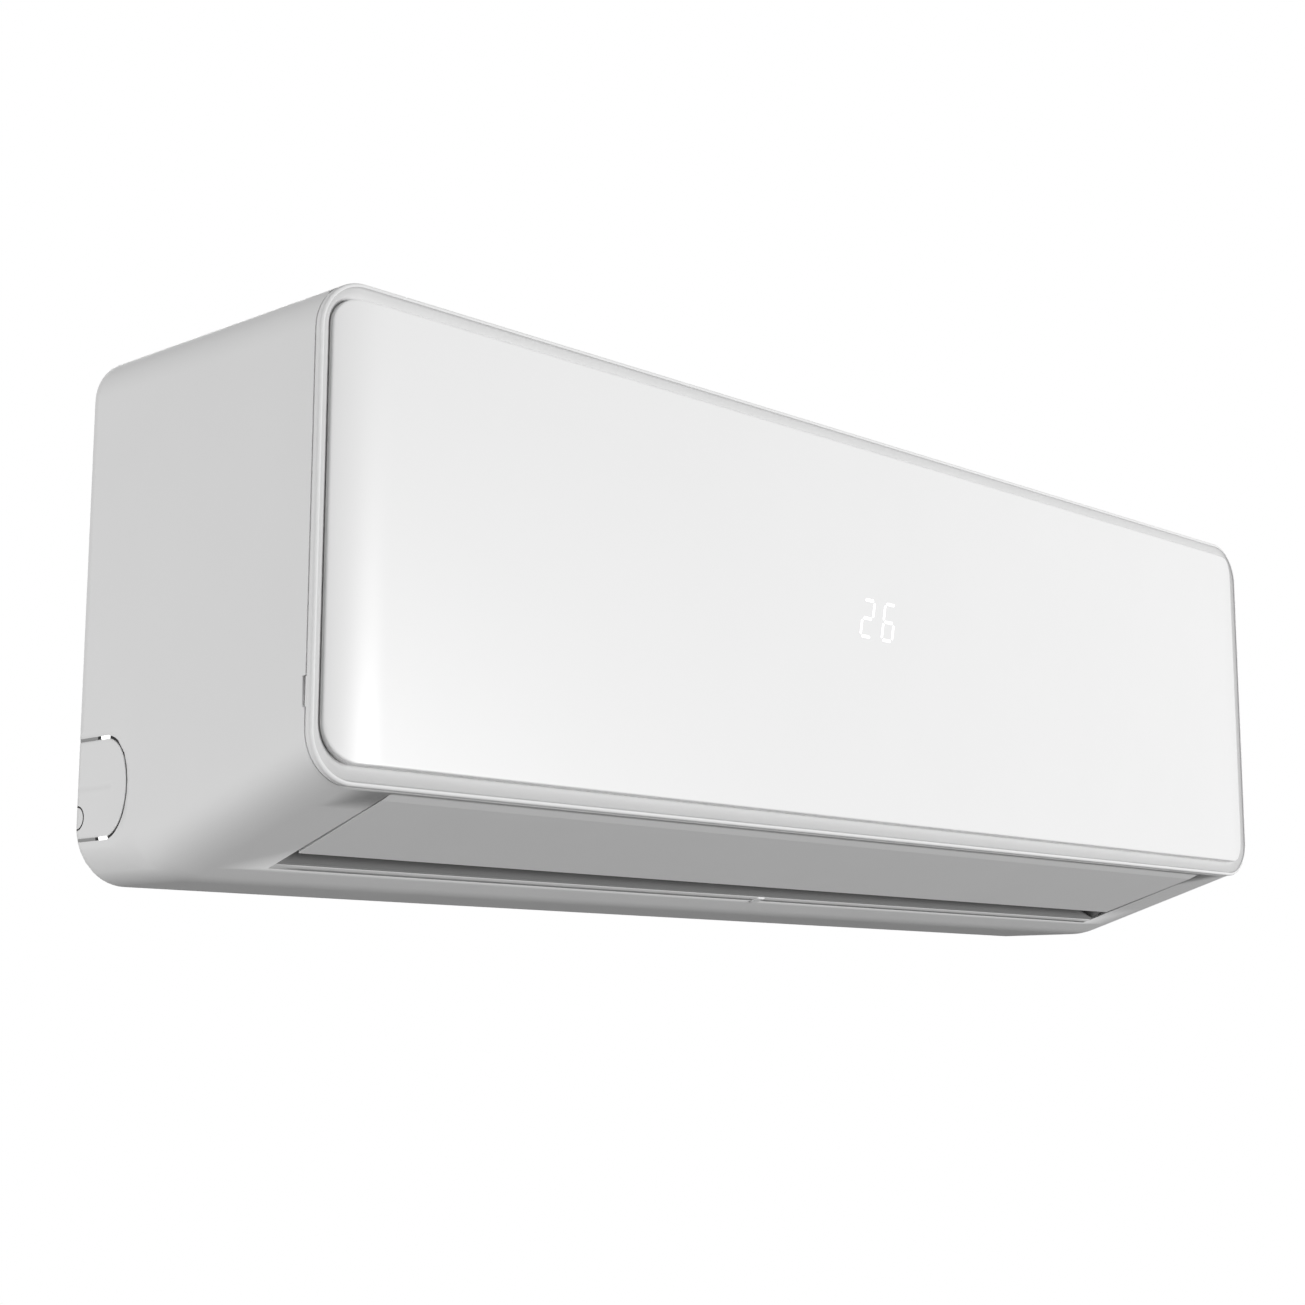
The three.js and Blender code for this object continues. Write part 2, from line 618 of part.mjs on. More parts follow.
// ---------- louver ----------
const louverGroup = new THREE.Group();
const skin = [];
for (const i of range(6)) {
  const angle = Math.PI * i / 10;
  skin.push([louverFront + 2 - 2 * Math.cos(angle), louverZAt(louverFront) + 1.6 - 1.6 * Math.sin(angle)]);
}
const louverLower = [[louverFront + 8, louverZAt(louverFront + 8)], [louverBack, louverZAt(louverBack)]];
const louverUpper = [[louverBack, louverZAt(louverBack) + louverThick],
  [louverFront + 6, louverZAt(louverFront + 6) + louverThick + 0.6]];
const louverProfile = outline([...skin, ...louverLower, ...louverUpper]);
const louverPlan = outline([[-louverHalfFront, louverFront - 1], [louverHalfFront, louverFront - 1],
  [louverHalfBack, louverBack + 1], [-louverHalfBack, louverBack + 1]]);
let louver = alongX(louverProfile, -half, half).intersect(alongZ(louverPlan, bottomZ - 10, 0));
const lugThick = 4;
const lugOutline = [[louverPivotY - 7, louverZAt(louverPivotY - 7) + 1],
  [louverPivotY + 7, louverZAt(louverPivotY + 7) + 1], [louverPivotY + 4, louverPivotZ + 4.6],
  [louverPivotY - 4, louverPivotZ + 4.6]];
const lugPlaces = [-louverHalfBack + 1, louverHalfBack - 1 - lugThick];
for (const x of lugPlaces) {
  louver = louver.add(alongX(outline(lugOutline), x, x + lugThick));
}
louver = cut(louver,
  rodX(-half, -louverHalfBack + 10, louverPivotY, louverPivotZ, louverPinRadius + gap, 14),
  rodX(louverHalfBack - 10, half, louverPivotY, louverPivotZ, louverPinRadius + gap, 14));
const centreLug = alongX(outline(lugOutline), 3 + gap, 3 + gap + lugThick);
louver = louver.add(cut(centreLug, rodX(-5, 20, louverPivotY, louverPivotZ, louverPinRadius + gap, 14)));
addPiece(louverGroup, 'louver', louver, 'whitePlastic');
unit.add(louverGroup);

const pivotPin = join(
  rodX(-ductHalf - plateThick - 4, -louverHalfBack + 1 + lugThick + 1, louverPivotY, louverPivotZ,
    louverPinRadius, 14),
  rodX(-ductHalf - plateThick - 4, -ductHalf - plateThick - gap, louverPivotY, louverPivotZ, 5, 14));
addPiece(unit, 'louver_pivot', pivotPin, 'greyPlastic');
const stepperShift = 8;
const stepperRadius = 12;
const stepperX = ductHalf + plateThick + gap;
const stepper = join(
  rodX(stepperX, stepperX + 19, louverPivotY, louverPivotZ + stepperShift, stepperRadius, 20),
  rodX(louverHalfBack - 1 - lugThick - 1, stepperX + 5, louverPivotY, louverPivotZ, louverPinRadius, 14),
  block(stepperX, stepperX + 2, louverPivotY - 19, louverPivotY + 19,
    louverPivotZ + stepperShift - 4, louverPivotZ + stepperShift + 4));
chassis = cut(chassis,
  rodX(-half, -ductHalf + 5, louverPivotY, louverPivotZ, louverPinRadius + gap, 14),
  rodX(ductHalf - 5, half, louverPivotY, louverPivotZ, louverPinRadius + gap, 14));
addPiece(unit, 'louver_motor', stepper, 'steel');

// ---------- upright vanes in two banks, each with a tie bar ----------
const floorDirection = new THREE.Vector2(floorEnd[0] - floorStart[0], floorEnd[1] - floorStart[1]);
floorDirection.normalize();
const flow = new THREE.Vector3(0, floorDirection.x, floorDirection.y);
const rise = new THREE.Vector3(0, floorDirection.y, -floorDirection.x);
const vaneAlong = 20.5;
const vaneFoot = [floorStart[0] + floorDirection.x * vaneAlong, floorStart[1] + floorDirection.y * vaneAlong];
const footLift = wall / 2 + 1;
const vaneBasis = new THREE.Matrix4().makeBasis(flow, rise, new THREE.Vector3().crossVectors(flow, rise));
const vaneTurn = new THREE.Quaternion().setFromRotationMatrix(vaneBasis);
const notchHalf = tieSize / 2 + gap;
const tieRise = vaneHeight - 8;

function vaneSolid() {
  const shape = new THREE.Shape();
  const u = vaneWidth / 2;
  const notchEnd = -tieOffset + tieSize / 2 + 1.6;
  shape.moveTo(-u + 3, 0);
  shape.lineTo(u, 0);
  shape.lineTo(u, vaneHeight * 0.62);
  shape.quadraticCurveTo(u - 1, vaneHeight, u - 9, vaneHeight);
  shape.lineTo(-u, vaneHeight);
  shape.lineTo(-u, tieRise + notchHalf);
  shape.lineTo(notchEnd, tieRise + notchHalf);
  shape.lineTo(notchEnd, tieRise - notchHalf);
  shape.lineTo(-u, tieRise - notchHalf);
  shape.lineTo(-u, 8);
  const along = { depth: vaneThick, bevelEnabled: false, curveSegments: 4 };
  const geometry = new THREE.ExtrudeGeometry(shape, along).translate(0, 0, -vaneThick / 2);
  const pin = new THREE.CylinderGeometry(vanePinRadius, vanePinRadius, vanePinLength + 1, 12);
  pin.translate(0, -vanePinLength / 2 + 0.5, 0);
  return makeSolid(geometry).add(makeSolid(pin));
}

const footY = vaneFoot[0] + rise.y * footLift;
const footZ = vaneFoot[1] + rise.z * footLift;
const vane = vaneSolid();
for (const [bank, side] of [['left', -1], ['right', 1]]) {
  for (const i of range(vaneCount)) {
    const x = side * (vaneStart + vanePitch * i);
    const mesh = addPiece(unit, `vane_${bank}_${i + 1}`, vane, 'whitePlastic');
    mesh.position.set(x, footY, footZ);
    mesh.quaternion.copy(vaneTurn);
    const holeRadius = vanePinRadius + gap;
    const hole = new THREE.CylinderGeometry(holeRadius, holeRadius, 2 * vanePinLength + 2, 12);
    hole.applyQuaternion(vaneTurn);
    hole.translate(x, footY, footZ);
    chassis = chassis.subtract(makeSolid(hole));
  }
  const barLength = vanePitch * (vaneCount - 1) + 14;
  const bar = new THREE.BoxGeometry(barLength, tieSize, tieSize);
  const barMesh = addPiece(unit, `tie_bar_${bank}`, makeSolid(bar), 'greyPlastic');
  const centre = new THREE.Vector3(side * (vaneStart + vanePitch * (vaneCount - 1) / 2), footY, footZ)
    .addScaledVector(flow, -tieOffset).addScaledVector(rise, tieRise);
  barMesh.position.copy(centre);
  barMesh.rotation.x = Math.atan2(rise.z, rise.y);
}

// ---------- cross-flow fan ----------
const fan = new THREE.Group();
fan.position.set(0, fanY, fanZ);
let wheel = rodX(fanLeft, fanLeft + discThick, 0, 0, fanRadius, 28);
for (const i of range(fanDiscs)) {
  const x = fanLeft + (fanRight - fanLeft - discThick) * i / (fanDiscs - 1);
  const disc = rodX(x, x + discThick, 0, 0, fanRadius, 28);
  const isEnd = i === 0 || i === fanDiscs - 1;
  const middle = rodX(x - 1, x + discThick + 1, 0, 0, fanRadius - bladeDepth - 2, 24);
  wheel = wheel.add(isEnd ? disc : disc.subtract(middle));
}
for (const i of range(fanBlades)) {
  const angle = 2 * Math.PI * i / fanBlades;
  const blade = range(3).map((k) => {
    const radius = fanRadius - 0.8 - bladeDepth * k / 2;
    const lead = angle + 0.16 * Math.sin(Math.PI * k / 4);
    return [radius * Math.cos(lead), radius * Math.sin(lead)];
  });
  wheel = wheel.add(alongX(sheetOutline(blade, 1.2), fanLeft + 0.5, fanRight - 0.5));
}
for (const x of [fanLeft - hubReach, fanRight - 1]) {
  wheel = wheel.add(rodX(x, x + hubReach + 1, 0, 0, hubRadius, 20));
}
wheel = cut(wheel,
  rodX(fanLeft - 20, fanLeft + 20, 0, 0, shaftRadius + gap, 14),
  rodX(fanRight - 20, fanRight + 20, 0, 0, shaftRadius + gap, 14));
addPiece(fan, 'fan_wheel', wheel, 'darkPlastic');
const bearingX = -ductHalf - 4;
addPiece(fan, 'fan_stub_shaft', rodX(bearingX, fanLeft + 18, 0, 0, shaftRadius, 14), 'steel');
unit.add(fan);

const holder = cut(rodX(-ductHalf - 8, -ductHalf + 2, fanY, fanZ, bearingSeat, 20),
  rodX(-ductHalf - 7, -ductHalf + 4, fanY, fanZ, 10 + gap, 20));
addPiece(unit, 'bearing_holder', holder, 'rubber');
const bush = cut(rodX(-ductHalf - 7 + gap, -ductHalf + 1, fanY, fanZ, 10, 20),
  rodX(-ductHalf - 9, -ductHalf + 5, fanY, fanZ, shaftRadius + gap, 14));
addPiece(unit, 'fan_bearing', bush, 'brass');

const motorX = partitionX + plateThick + 6;
const motorBody = join(
  rodX(motorX, motorX + motorLength, fanY, fanZ, motorRadius, 28),
  rodX(motorX - 5, motorX + 1, fanY, fanZ, bearingSeat - 1, 20));
addPiece(unit, 'fan_motor', cut(motorBody,
  rodX(motorX - 6, motorX + 16, fanY, fanZ, shaftRadius + gap, 14)), 'steel');
addPiece(fan, 'motor_shaft', rodX(fanRight - 14, motorX + 15, 0, 0, shaftRadius, 14), 'steel');

const bandInner = motorRadius + gap;
const bandOuter = bandInner + 3;
const bandX = motorX + 20;
const bandEnd = bandX + 18;
const footHalf = 20;
const bandRoom = rodX(partitionX, bandEnd + 1, fanY, fanZ, bandInner, 28);
const bracketFoot = block(partitionX + plateThick + gap, bandEnd, fanY - footHalf, fanY + footHalf,
  fanZ - bandOuter - 6, fanZ - bandOuter + 2);
const bracket = cut(join(rodX(bandX, bandEnd, fanY, fanZ, bandOuter, 28), bracketFoot), bandRoom);
addPiece(unit, 'motor_bracket', bracket, 'greyPlastic');

// ---------- evaporator ----------
function coilOutline(u0, v0, u1, v1) {
  const d = new THREE.Vector2(u1 - u0, v1 - v0).normalize();
  const n = [-d.y * coilThick / 2, d.x * coilThick / 2];
  return [[u0 + n[0], v0 + n[1]], [u1 + n[0], v1 + n[1]], [u1 - n[0], v1 - n[1]], [u0 - n[0], v0 - n[1]]];
}
const coilLegs = {
  coil_front: [coilFrontY, panFloor + coilToPan, coilFrontY, fanZ + coilFrontRise],
  coil_top: [coilFrontY + coilTopShift, fanZ + coilTopFoot, ridgeY - ridgeHalf, ridgeZ],
  coil_rear: [ridgeY + ridgeHalf, ridgeZ, voluteRear - coilToVolute, fanZ + coilRearFoot],
};
for (const [name, leg] of Object.entries(coilLegs)) {
  addPiece(unit, name, alongX(outline(coilOutline(...leg)), coilLeft, coilRight), 'aluminium');
}
const bendRadius = 9;
const bendTube = 3.4;
const sheetThick = 1.5;
function tubeSheet(x0, outward, tabEnd) {
  const x1 = x0 + sheetThick;
  const sheet = [[coilFrontY - 14, panFloor + 22], [coilFrontY - 14, fanZ + 54], [coilFrontY - 8, fanZ + 78],
    [ridgeY - 23.5, ridgeZ + 11], [ridgeY + 24.5, ridgeZ + 11], [voluteRear + 4, fanZ + 74],
    [voluteRear - 20, fanZ + 58], [ridgeY + 6.5, ridgeZ - 19], [ridgeY - 5.5, ridgeZ - 19],
    [coilFrontY + 19, fanZ + 62], [coilFrontY + 14, fanZ + 50], [coilFrontY + 14, panFloor + 22]];
  let solid = alongX(outline(sheet), x0, x1);
  solid = solid.add(block(Math.min(x0, tabEnd), Math.max(x1, tabEnd), ridgeY - 9.5, ridgeY + 10.5,
    ridgeZ + 5, ridgeZ + 7));
  for (const [name, [u0, v0, u1, v1]] of Object.entries(coilLegs)) {
    const run = Math.hypot(u1 - u0, v1 - v0);
    const du = (u1 - u0) / run;
    const dv = (v1 - v0) / run;
    const shares = outward > 0 && name === 'coil_rear' ? [0.28] : [0.28, 0.72];
    for (const share of shares) {
      const cy = u0 + du * run * share;
      const cz = v0 + dv * run * share;
      const x = outward < 0 ? x0 + 0.5 : x1 - 0.5;
      const points = range(9).map((k) => {
        const angle = Math.PI * k / 8;
        const shift = bendRadius * Math.cos(angle);
        return [x + outward * bendRadius * Math.sin(angle), cy + du * shift, cz + dv * shift];
      });
      solid = solid.add(tube(points, bendTube, 8, 6));
    }
  }
  return solid;
}
addPiece(unit, 'tube_sheet_left', tubeSheet(coilLeft - sheetThick - gap, -1, -ductHalf + 0.2 + gap), 'steel');
addPiece(unit, 'tube_sheet_right', tubeSheet(coilRight + gap, 1, partitionX - gap), 'steel');

// ---------- drain pan with the front wall of the air passage ----------
const panEnd = ductHalf - 0.2 - gap;
const panPath = [[coilFrontY + 18.5, panFloor + 22], [coilFrontY + 16.5, panFloor + 12],
  [coilFrontY + 12, panFloor], [coilFrontY - 13, panFloor], [insideFront + 4, panFloor + 14]];
const guidePath = [[coilFrontY + 13, panFloor + 0.5], [coilFrontY + 5, panFloor - 9],
  [insideFront + 2, windowBottom - 12]];
let pan = alongX(sheetOutline(panPath, wall), -panEnd, panEnd);
pan = pan.add(alongX(sheetOutline(guidePath, wall), -panEnd, panEnd));
for (const x of [-panEnd, panEnd - wall]) {
  pan = pan.add(alongX(outline([...panPath]), x, x + wall));
}
const drainY = coilFrontY - 1;
const drainZ = panFloor + 9;
const drainBore = 5;
const spigotRadius = drainBore + 1.5;
const flangeRadius = drainBore + 3;
const spigotEnd = panEnd + 34;
pan = pan.subtract(rodX(-half, half, drainY, drainZ, spigotRadius + gap, 16));
addPiece(unit, 'drain_pan', pan, 'whitePlastic');
const spigot = cut(join(
  rodX(panEnd - wall, spigotEnd, drainY, drainZ, spigotRadius, 16),
  rodX(panEnd + gap, panEnd + 3, drainY, drainZ, flangeRadius, 16)),
rodX(panEnd - 5, spigotEnd + 1, drainY, drainZ, drainBore, 16));
addPiece(unit, 'drain_spigot', spigot, 'greyPlastic');
const plateOuter = ductHalf + plateThick;
chassis = chassis.subtract(rodX(-half, -ductHalf + 5, drainY, drainZ, spigotRadius + gap, 16));
addPiece(unit, 'drain_plug', join(
  rodX(-plateOuter - 3, -panEnd + wall, drainY, drainZ, spigotRadius, 16),
  rodX(-plateOuter - 4, -plateOuter - gap, drainY, drainZ, flangeRadius, 16)), 'rubber');

// An arm under the pan's guide carries the middle of the louver.
const armHalf = 3;
const supportOutline = [[coilFrontY + 4, panFloor - 9.2], [coilFrontY + 12, panFloor - 0.7],
  [louverPivotY + 3.2, louverPivotZ + 3.2],
  [louverPivotY + 3.2, louverPivotZ - 3], [louverPivotY - 2.8, louverPivotZ - 3.6],
  [louverPivotY - 5, louverPivotZ + 0.5]];
let support = alongX(outline(supportOutline), -armHalf, armHalf);
support = cut(support, alongX(sheetOutline(guidePath, wall + 2 * gap), -armHalf - 1, armHalf + 1));
const armPinEnd = armHalf + 2 * gap + lugThick;
support = support.add(rodX(-armHalf, armPinEnd, louverPivotY, louverPivotZ, louverPinRadius, 14));
addPiece(unit, 'louver_support', support, 'greyPlastic');

// ---------- wall plate with hooks for the chassis ----------
const plateSteel = 1.2;
const plateHalf = half - 100;
const plateTopZ = topZ - 30;
const plateLowZ = bottomZ + 15.5;
const hookX = plateHalf - 120;
const hookHalf = 14;
const hookZ = plateTopZ - 12;
const holeStart = 50;
const holeColumns = 5;
const holeStep = (plateHalf - holeStart - 32) / (holeColumns - 1);
let wallPlate = alongY(roundedShape(-plateHalf, plateHalf, plateLowZ, plateTopZ, 12, 12), -plateSteel, 0, 4);
for (const side of [-1, 1]) {
  for (const i of range(holeColumns)) {
    const x = side * (holeStart + holeStep * i);
    for (const z of [plateTopZ - 42, fanZ - 10]) {
      wallPlate = wallPlate.subtract(rodY(-plateSteel - 1, 1, x, z, 4, 8));
    }
  }
  const legX = side * hookX;
  const hookFront = backPlateY - wall / 2 - gap;
  wallPlate = join(wallPlate,
    block(legX - hookHalf, legX + hookHalf, hookFront - plateSteel, -plateSteel + 0.4,
      hookZ, hookZ + plateSteel),
    block(legX - hookHalf, legX + hookHalf, hookFront - plateSteel, hookFront, hookZ, hookZ + 10),
    block(legX - hookHalf, legX + hookHalf, -plateSteel, 0, bottomZ + wall + gap, plateLowZ + 5),
    block(legX - hookHalf, legX + hookHalf, -7, 0, bottomZ + wall + gap, bottomZ + wall + gap + plateSteel));
  wallPlate = wallPlate.subtract(block(side * 120 - 40, side * 120 + 40, -plateSteel - 1, 1,
    plateLowZ + 20, plateLowZ + 42));
  chassis = chassis.subtract(block(legX - hookHalf - gap, legX + hookHalf + gap, hookFront - 2, 0,
    hookZ - gap, hookZ + 10 + 2));
}
addPiece(unit, 'wall_plate', wallPlate, 'steel');

// ---------- electrics in the right-hand bay ----------
const boxX0 = partitionX + plateThick + gap;
const boxX1 = half - 15.3;
const boxY0 = insideFront + 9.1;
const boxY1 = -72;
const boxZ0 = fanZ + 42;
const boxZ1 = topZ - 30;
const boxWall = 2;
const controlBox = cut(block(boxX0, boxX1, boxY0, boxY1, boxZ0, boxZ1),
  block(boxX0 + boxWall, boxX1 - boxWall, boxY0 - 1, boxY1 - boxWall, boxZ0 + boxWall, boxZ1 - boxWall));
addPiece(unit, 'control_box', controlBox, 'blackPlastic');
const buttonX = (boxX0 + boxX1) / 2 - 8;
const buttonZ = boxZ0 + 18;
const buttonRadius = 4;
const coverThick = 1.5;
const coverBack = boxY0 - gap;
const cover = cut(join(
  block(boxX0, boxX1, coverBack - coverThick, coverBack, boxZ0, boxZ1),
  block(boxX1 - 12, boxX1, coverBack - coverThick, boxY0 + 10, boxZ1 + gap, boxZ1 + gap + coverThick),
  block(boxX1 - 12, boxX1, coverBack - coverThick, coverBack, boxZ1 - 1, boxZ1 + gap + coverThick)),
rodY(coverBack - 5, coverBack + 5, buttonX, buttonZ, buttonRadius + gap, 16));
addPiece(unit, 'control_box_cover', cover, 'steel');
addPiece(unit, 'manual_button', join(
  rodY(coverBack - coverThick - 3, coverBack + 5, buttonX, buttonZ, buttonRadius, 16),
  rodY(coverBack + gap, coverBack + 2, buttonX, buttonZ, buttonRadius + 2, 16)), 'whitePlastic');
const boardY = boxY1 - boxWall - 5;
let board = block(boxX0 + boxWall + gap, boxX1 - boxWall - gap, boardY - 1.6, boardY,
  boxZ0 + boxWall + gap, boxZ1 - boxWall - gap);
for (const x of [boxX0 + 10, boxX1 - 10]) {
  for (const z of [boxZ0 + 11, boxZ1 - 11]) {
    board = board.add(rodY(boardY - 1, boxY1 - boxWall - gap, x, z, 3, 10));
  }
}
for (const [x, z, size, tall] of [[20, 24, 9, 24], [40, 24, 9, 24], [62, 26, 12, 18]]) {
  board = board.add(rodY(boardY - 1 - tall, boardY - 1, boxX0 + x, boxZ0 + z, size, 14));
}
const chips = [[18, 36, 26, 30, 20], [52, 34, 22, 18, 14], [60, 10, 30, 8, 9], [28, 10, 24, 8, 9]];
for (const [x, down, wide, high, tall] of chips) {
  board = board.add(block(boxX0 + x - wide / 2, boxX0 + x + wide / 2, boardY - 1 - tall, boardY - 1,
    boxZ1 - down - high / 2, boxZ1 - down + high / 2));
}
addPiece(unit, 'control_board', board, 'circuit');
const terminalZ = boxZ0 + boxWall + gap;
const terminalInset = 12;
const terminalY = boxY0 + 26;
const screwSpread = 8;
const screwRadius = 3;
let terminal = join(
  block(boxX0 + terminalInset, boxX1 - terminalInset, terminalY - 12, terminalY + 12, terminalZ, terminalZ + 8),
  block(boxX0 + terminalInset, boxX1 - terminalInset, terminalY - 4, terminalY + 4, terminalZ, terminalZ + 13));
for (const i of range(5)) {
  const x = boxX0 + terminalInset + screwSpread + i * 12;
  for (const y of [terminalY - screwSpread, terminalY + screwSpread]) {
    terminal = terminal.add(rodZ(terminalZ + 7, terminalZ + 10, x, y, screwRadius, 10));
  }
}
addPiece(unit, 'terminal_block', terminal, 'darkPlastic');

// ---------- sensors ----------
const sensorX = coilRight - 26;
const coilFace = coilLegs.coil_front[0] - coilThick / 2;
addPiece(unit, 'room_sensor', join(
  block(sensorX - 5, sensorX + 5, coilFace - gap - 3, coilFace - gap, panFloor + 50, panFloor + 68),
  rodZ(panFloor + 46, panFloor + 70, sensorX, coilFace - gap - 2.4, 2.2, 10)), 'darkPlastic');
const coilSensorRadius = 2.6;
const coilSensorX = coilRight + 2 * gap + sheetThick + coilSensorRadius;
addPiece(unit, 'coil_sensor', rodZ(panFloor + 30, panFloor + 52, coilSensorX,
  coilFrontY + 9, coilSensorRadius, 12), 'brass');

// ---------- refrigerant pipes in the channel behind the air passage ----------
const channelY = -19;
const gasZ = bottomZ + 42.5;
const liquidZ = gasZ - 20;
const pipeEndX = -110;
const bayX = ductHalf + plateThick + 24;
function alongRearLeg(share) {
  const [u0, v0, u1, v1] = coilLegs.coil_rear;
  return [u0 + (u1 - u0) * share, v0 + (v1 - v0) * share];
}
const [gasExitY, gasExitZ] = alongRearLeg(0.72);
const [liquidExitY, liquidExitZ] = alongRearLeg(0.955);
const exitX = coilRight + gap + sheetThick + gap;
const gasRoute = [[exitX, gasExitY, gasExitZ], [coilRight + 22, gasExitY, gasExitZ],
  [partitionX + 31, gasExitY + 2, gasExitZ - 2.5], [bayX - 10, gasExitY + 12, gasExitZ - 18],
  [bayX, gasExitY + 24, fanZ + 36], [bayX, voluteRear + 14, fanZ - 20], [bayX - 10, channelY, gasZ + 11],
  [bayX - 36, channelY, gasZ], [200, channelY, gasZ], [0, channelY, gasZ], [pipeEndX + 30, channelY, gasZ],
  [pipeEndX, channelY, gasZ]];
const liquidRoute = [[exitX, liquidExitY, liquidExitZ], [coilRight + 22, liquidExitY, liquidExitZ],
  [partitionX + 26, liquidExitY + 4, liquidExitZ - 3.5], [bayX - 22, liquidExitY + 10, fanZ + 54],
  [bayX - 14, voluteRear, fanZ + 26], [bayX - 14, voluteRear + 2, fanZ - 20],
  [bayX - 20, voluteRear + 2, gasZ + 1], [bayX - 52, channelY - 5, liquidZ], [200, channelY, liquidZ],
  [0, channelY, liquidZ], [pipeEndX + 20, channelY, liquidZ], [pipeEndX - 40, channelY, liquidZ]];
addPiece(unit, 'gas_pipe', tube(gasRoute, gasPipeRadius, 48, 8), 'copper');
addPiece(unit, 'liquid_pipe', tube(liquidRoute, liquidPipeRadius, 48, 8), 'copper');
const pipeHoles = [[gasExitY, gasExitZ, gasPipeRadius], [liquidExitY, liquidExitZ, liquidPipeRadius]];
for (const [y, z, radius] of pipeHoles) {
  chassis = chassis.subtract(rodX(partitionX - 1, partitionX + plateThick + 1, y, z, radius + 1, 16));
}
function flareNut(x, z, pipeRadius) {
  const body = rodX(x - 16, x, channelY, z, pipeRadius + 4.5, 6);
  const neck = rodX(x - 1, x + 6, channelY, z, pipeRadius + 2, 16);
  return cut(join(body, neck), rodX(x - 20, x + 8, channelY, z, pipeRadius + gap, 12));
}
addPiece(unit, 'flare_nut_gas', flareNut(pipeEndX + 12, gasZ, gasPipeRadius), 'brass');
addPiece(unit, 'flare_nut_liquid', flareNut(pipeEndX - 28, liquidZ, liquidPipeRadius), 'brass');
const clampX = 110;
const clampTop = gasZ + 7.5;
const clampLow = liquidZ - 8;
const clampFoot = gasZ - 10.3;
function chassisYAt(z) {
  const i = chassisPath.findIndex((point, k) => k > 1 && point[1] <= z);
  const [[y0, z0], [y1, z1]] = [chassisPath[i - 1], chassisPath[i]];
  return y0 + (y1 - y0) * (z - z0) / (z1 - z0);
}
const clampOutline = [[chassisYAt(clampTop), clampTop], [channelY + 8, clampTop], [channelY + 8, clampLow],
  [voluteRear - 4, clampLow], [chassisYAt(clampFoot), clampFoot],
  ...chassisPath.filter((point) => point[1] < clampTop && point[1] > clampFoot).reverse()];
let clamp = alongX(outline(clampOutline), clampX, clampX + 14);
clamp = cut(clamp, alongX(sheetOutline(chassisPath, wall + 2 * gap), clampX - 1, clampX + 15),
  rodX(clampX - 1, clampX + 15, channelY, gasZ, gasPipeRadius + gap, 14),
  rodX(clampX - 1, clampX + 15, channelY, liquidZ, liquidPipeRadius + gap, 14),
  block(clampX - 1, clampX + 15, channelY, 0, gasZ - 2, gasZ + 2),
  block(clampX - 1, clampX + 15, channelY, 0, liquidZ - 2, liquidZ + 2));
addPiece(unit, 'pipe_clamp', clamp, 'greyPlastic');
addPiece(unit, 'chassis', chassis, 'greyPlastic');

export default unit;
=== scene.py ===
import math
import bmesh
import bpy
import numpy as np
from mathutils import Matrix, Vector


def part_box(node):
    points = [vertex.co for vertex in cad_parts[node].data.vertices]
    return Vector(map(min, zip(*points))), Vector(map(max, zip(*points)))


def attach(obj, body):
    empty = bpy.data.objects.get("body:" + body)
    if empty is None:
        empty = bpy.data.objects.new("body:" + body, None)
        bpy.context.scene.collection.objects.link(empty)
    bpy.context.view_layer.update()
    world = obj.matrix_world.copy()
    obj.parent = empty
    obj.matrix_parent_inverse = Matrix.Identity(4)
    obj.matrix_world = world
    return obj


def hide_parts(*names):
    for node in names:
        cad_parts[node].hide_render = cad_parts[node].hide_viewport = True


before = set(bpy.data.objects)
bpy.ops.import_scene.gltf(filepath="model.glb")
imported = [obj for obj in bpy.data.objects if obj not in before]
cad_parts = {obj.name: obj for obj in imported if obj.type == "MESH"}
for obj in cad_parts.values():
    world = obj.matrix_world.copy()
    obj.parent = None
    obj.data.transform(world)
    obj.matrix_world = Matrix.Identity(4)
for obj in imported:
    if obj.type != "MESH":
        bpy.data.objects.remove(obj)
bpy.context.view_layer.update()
mm = 0.001  # every length below is in millimetres until it goes into a mesh


cameraPlace = {
    "position": (-1064.4, -1017.3, -216.7),  # from the photograph's measured edges, in millimetres
    "yaw": 46.343,  # degrees from the wall's normal towards the right
    "pitch": 9.622,
    "roll": 0.115,
    "focalPixels": 2247.83,
    "framePixels": 1305,
    "sensor": 36.0,
}


def aimCamera(place):
    # columns of the camera's turn are right, up and backwards, then rolled about the view line
    yaw, pitch, roll = (math.radians(place[key]) for key in ("yaw", "pitch", "roll"))
    forward = np.array((math.sin(yaw) * math.cos(pitch), math.cos(yaw) * math.cos(pitch), math.sin(pitch)))
    right = np.array((math.cos(yaw), -math.sin(yaw), 0.0))
    up = np.cross(right, forward)
    rolledRight = math.cos(roll) * right + math.sin(roll) * up
    rolledUp = math.cos(roll) * up - math.sin(roll) * right
    turn = np.eye(4)
    turn[:3, 0], turn[:3, 1], turn[:3, 2] = rolledRight, rolledUp, -forward
    turn[:3, 3] = np.array(place["position"]) * mm
    lens = bpy.data.cameras.new("unitCamera")
    lens.sensor_width = place["sensor"]
    lens.sensor_height = place["sensor"]
    lens.lens = place["focalPixels"] / place["framePixels"] * place["sensor"]
    lens.clip_end = 50
    holder = bpy.data.objects.new("unitCamera", lens)
    holder.matrix_world = Matrix(turn.tolist())
    bpy.context.collection.objects.link(holder)
    bpy.context.scene.camera = holder


aimCamera(cameraPlace)
bpy.context.scene.view_settings.view_transform = "Standard"
print("camera set")

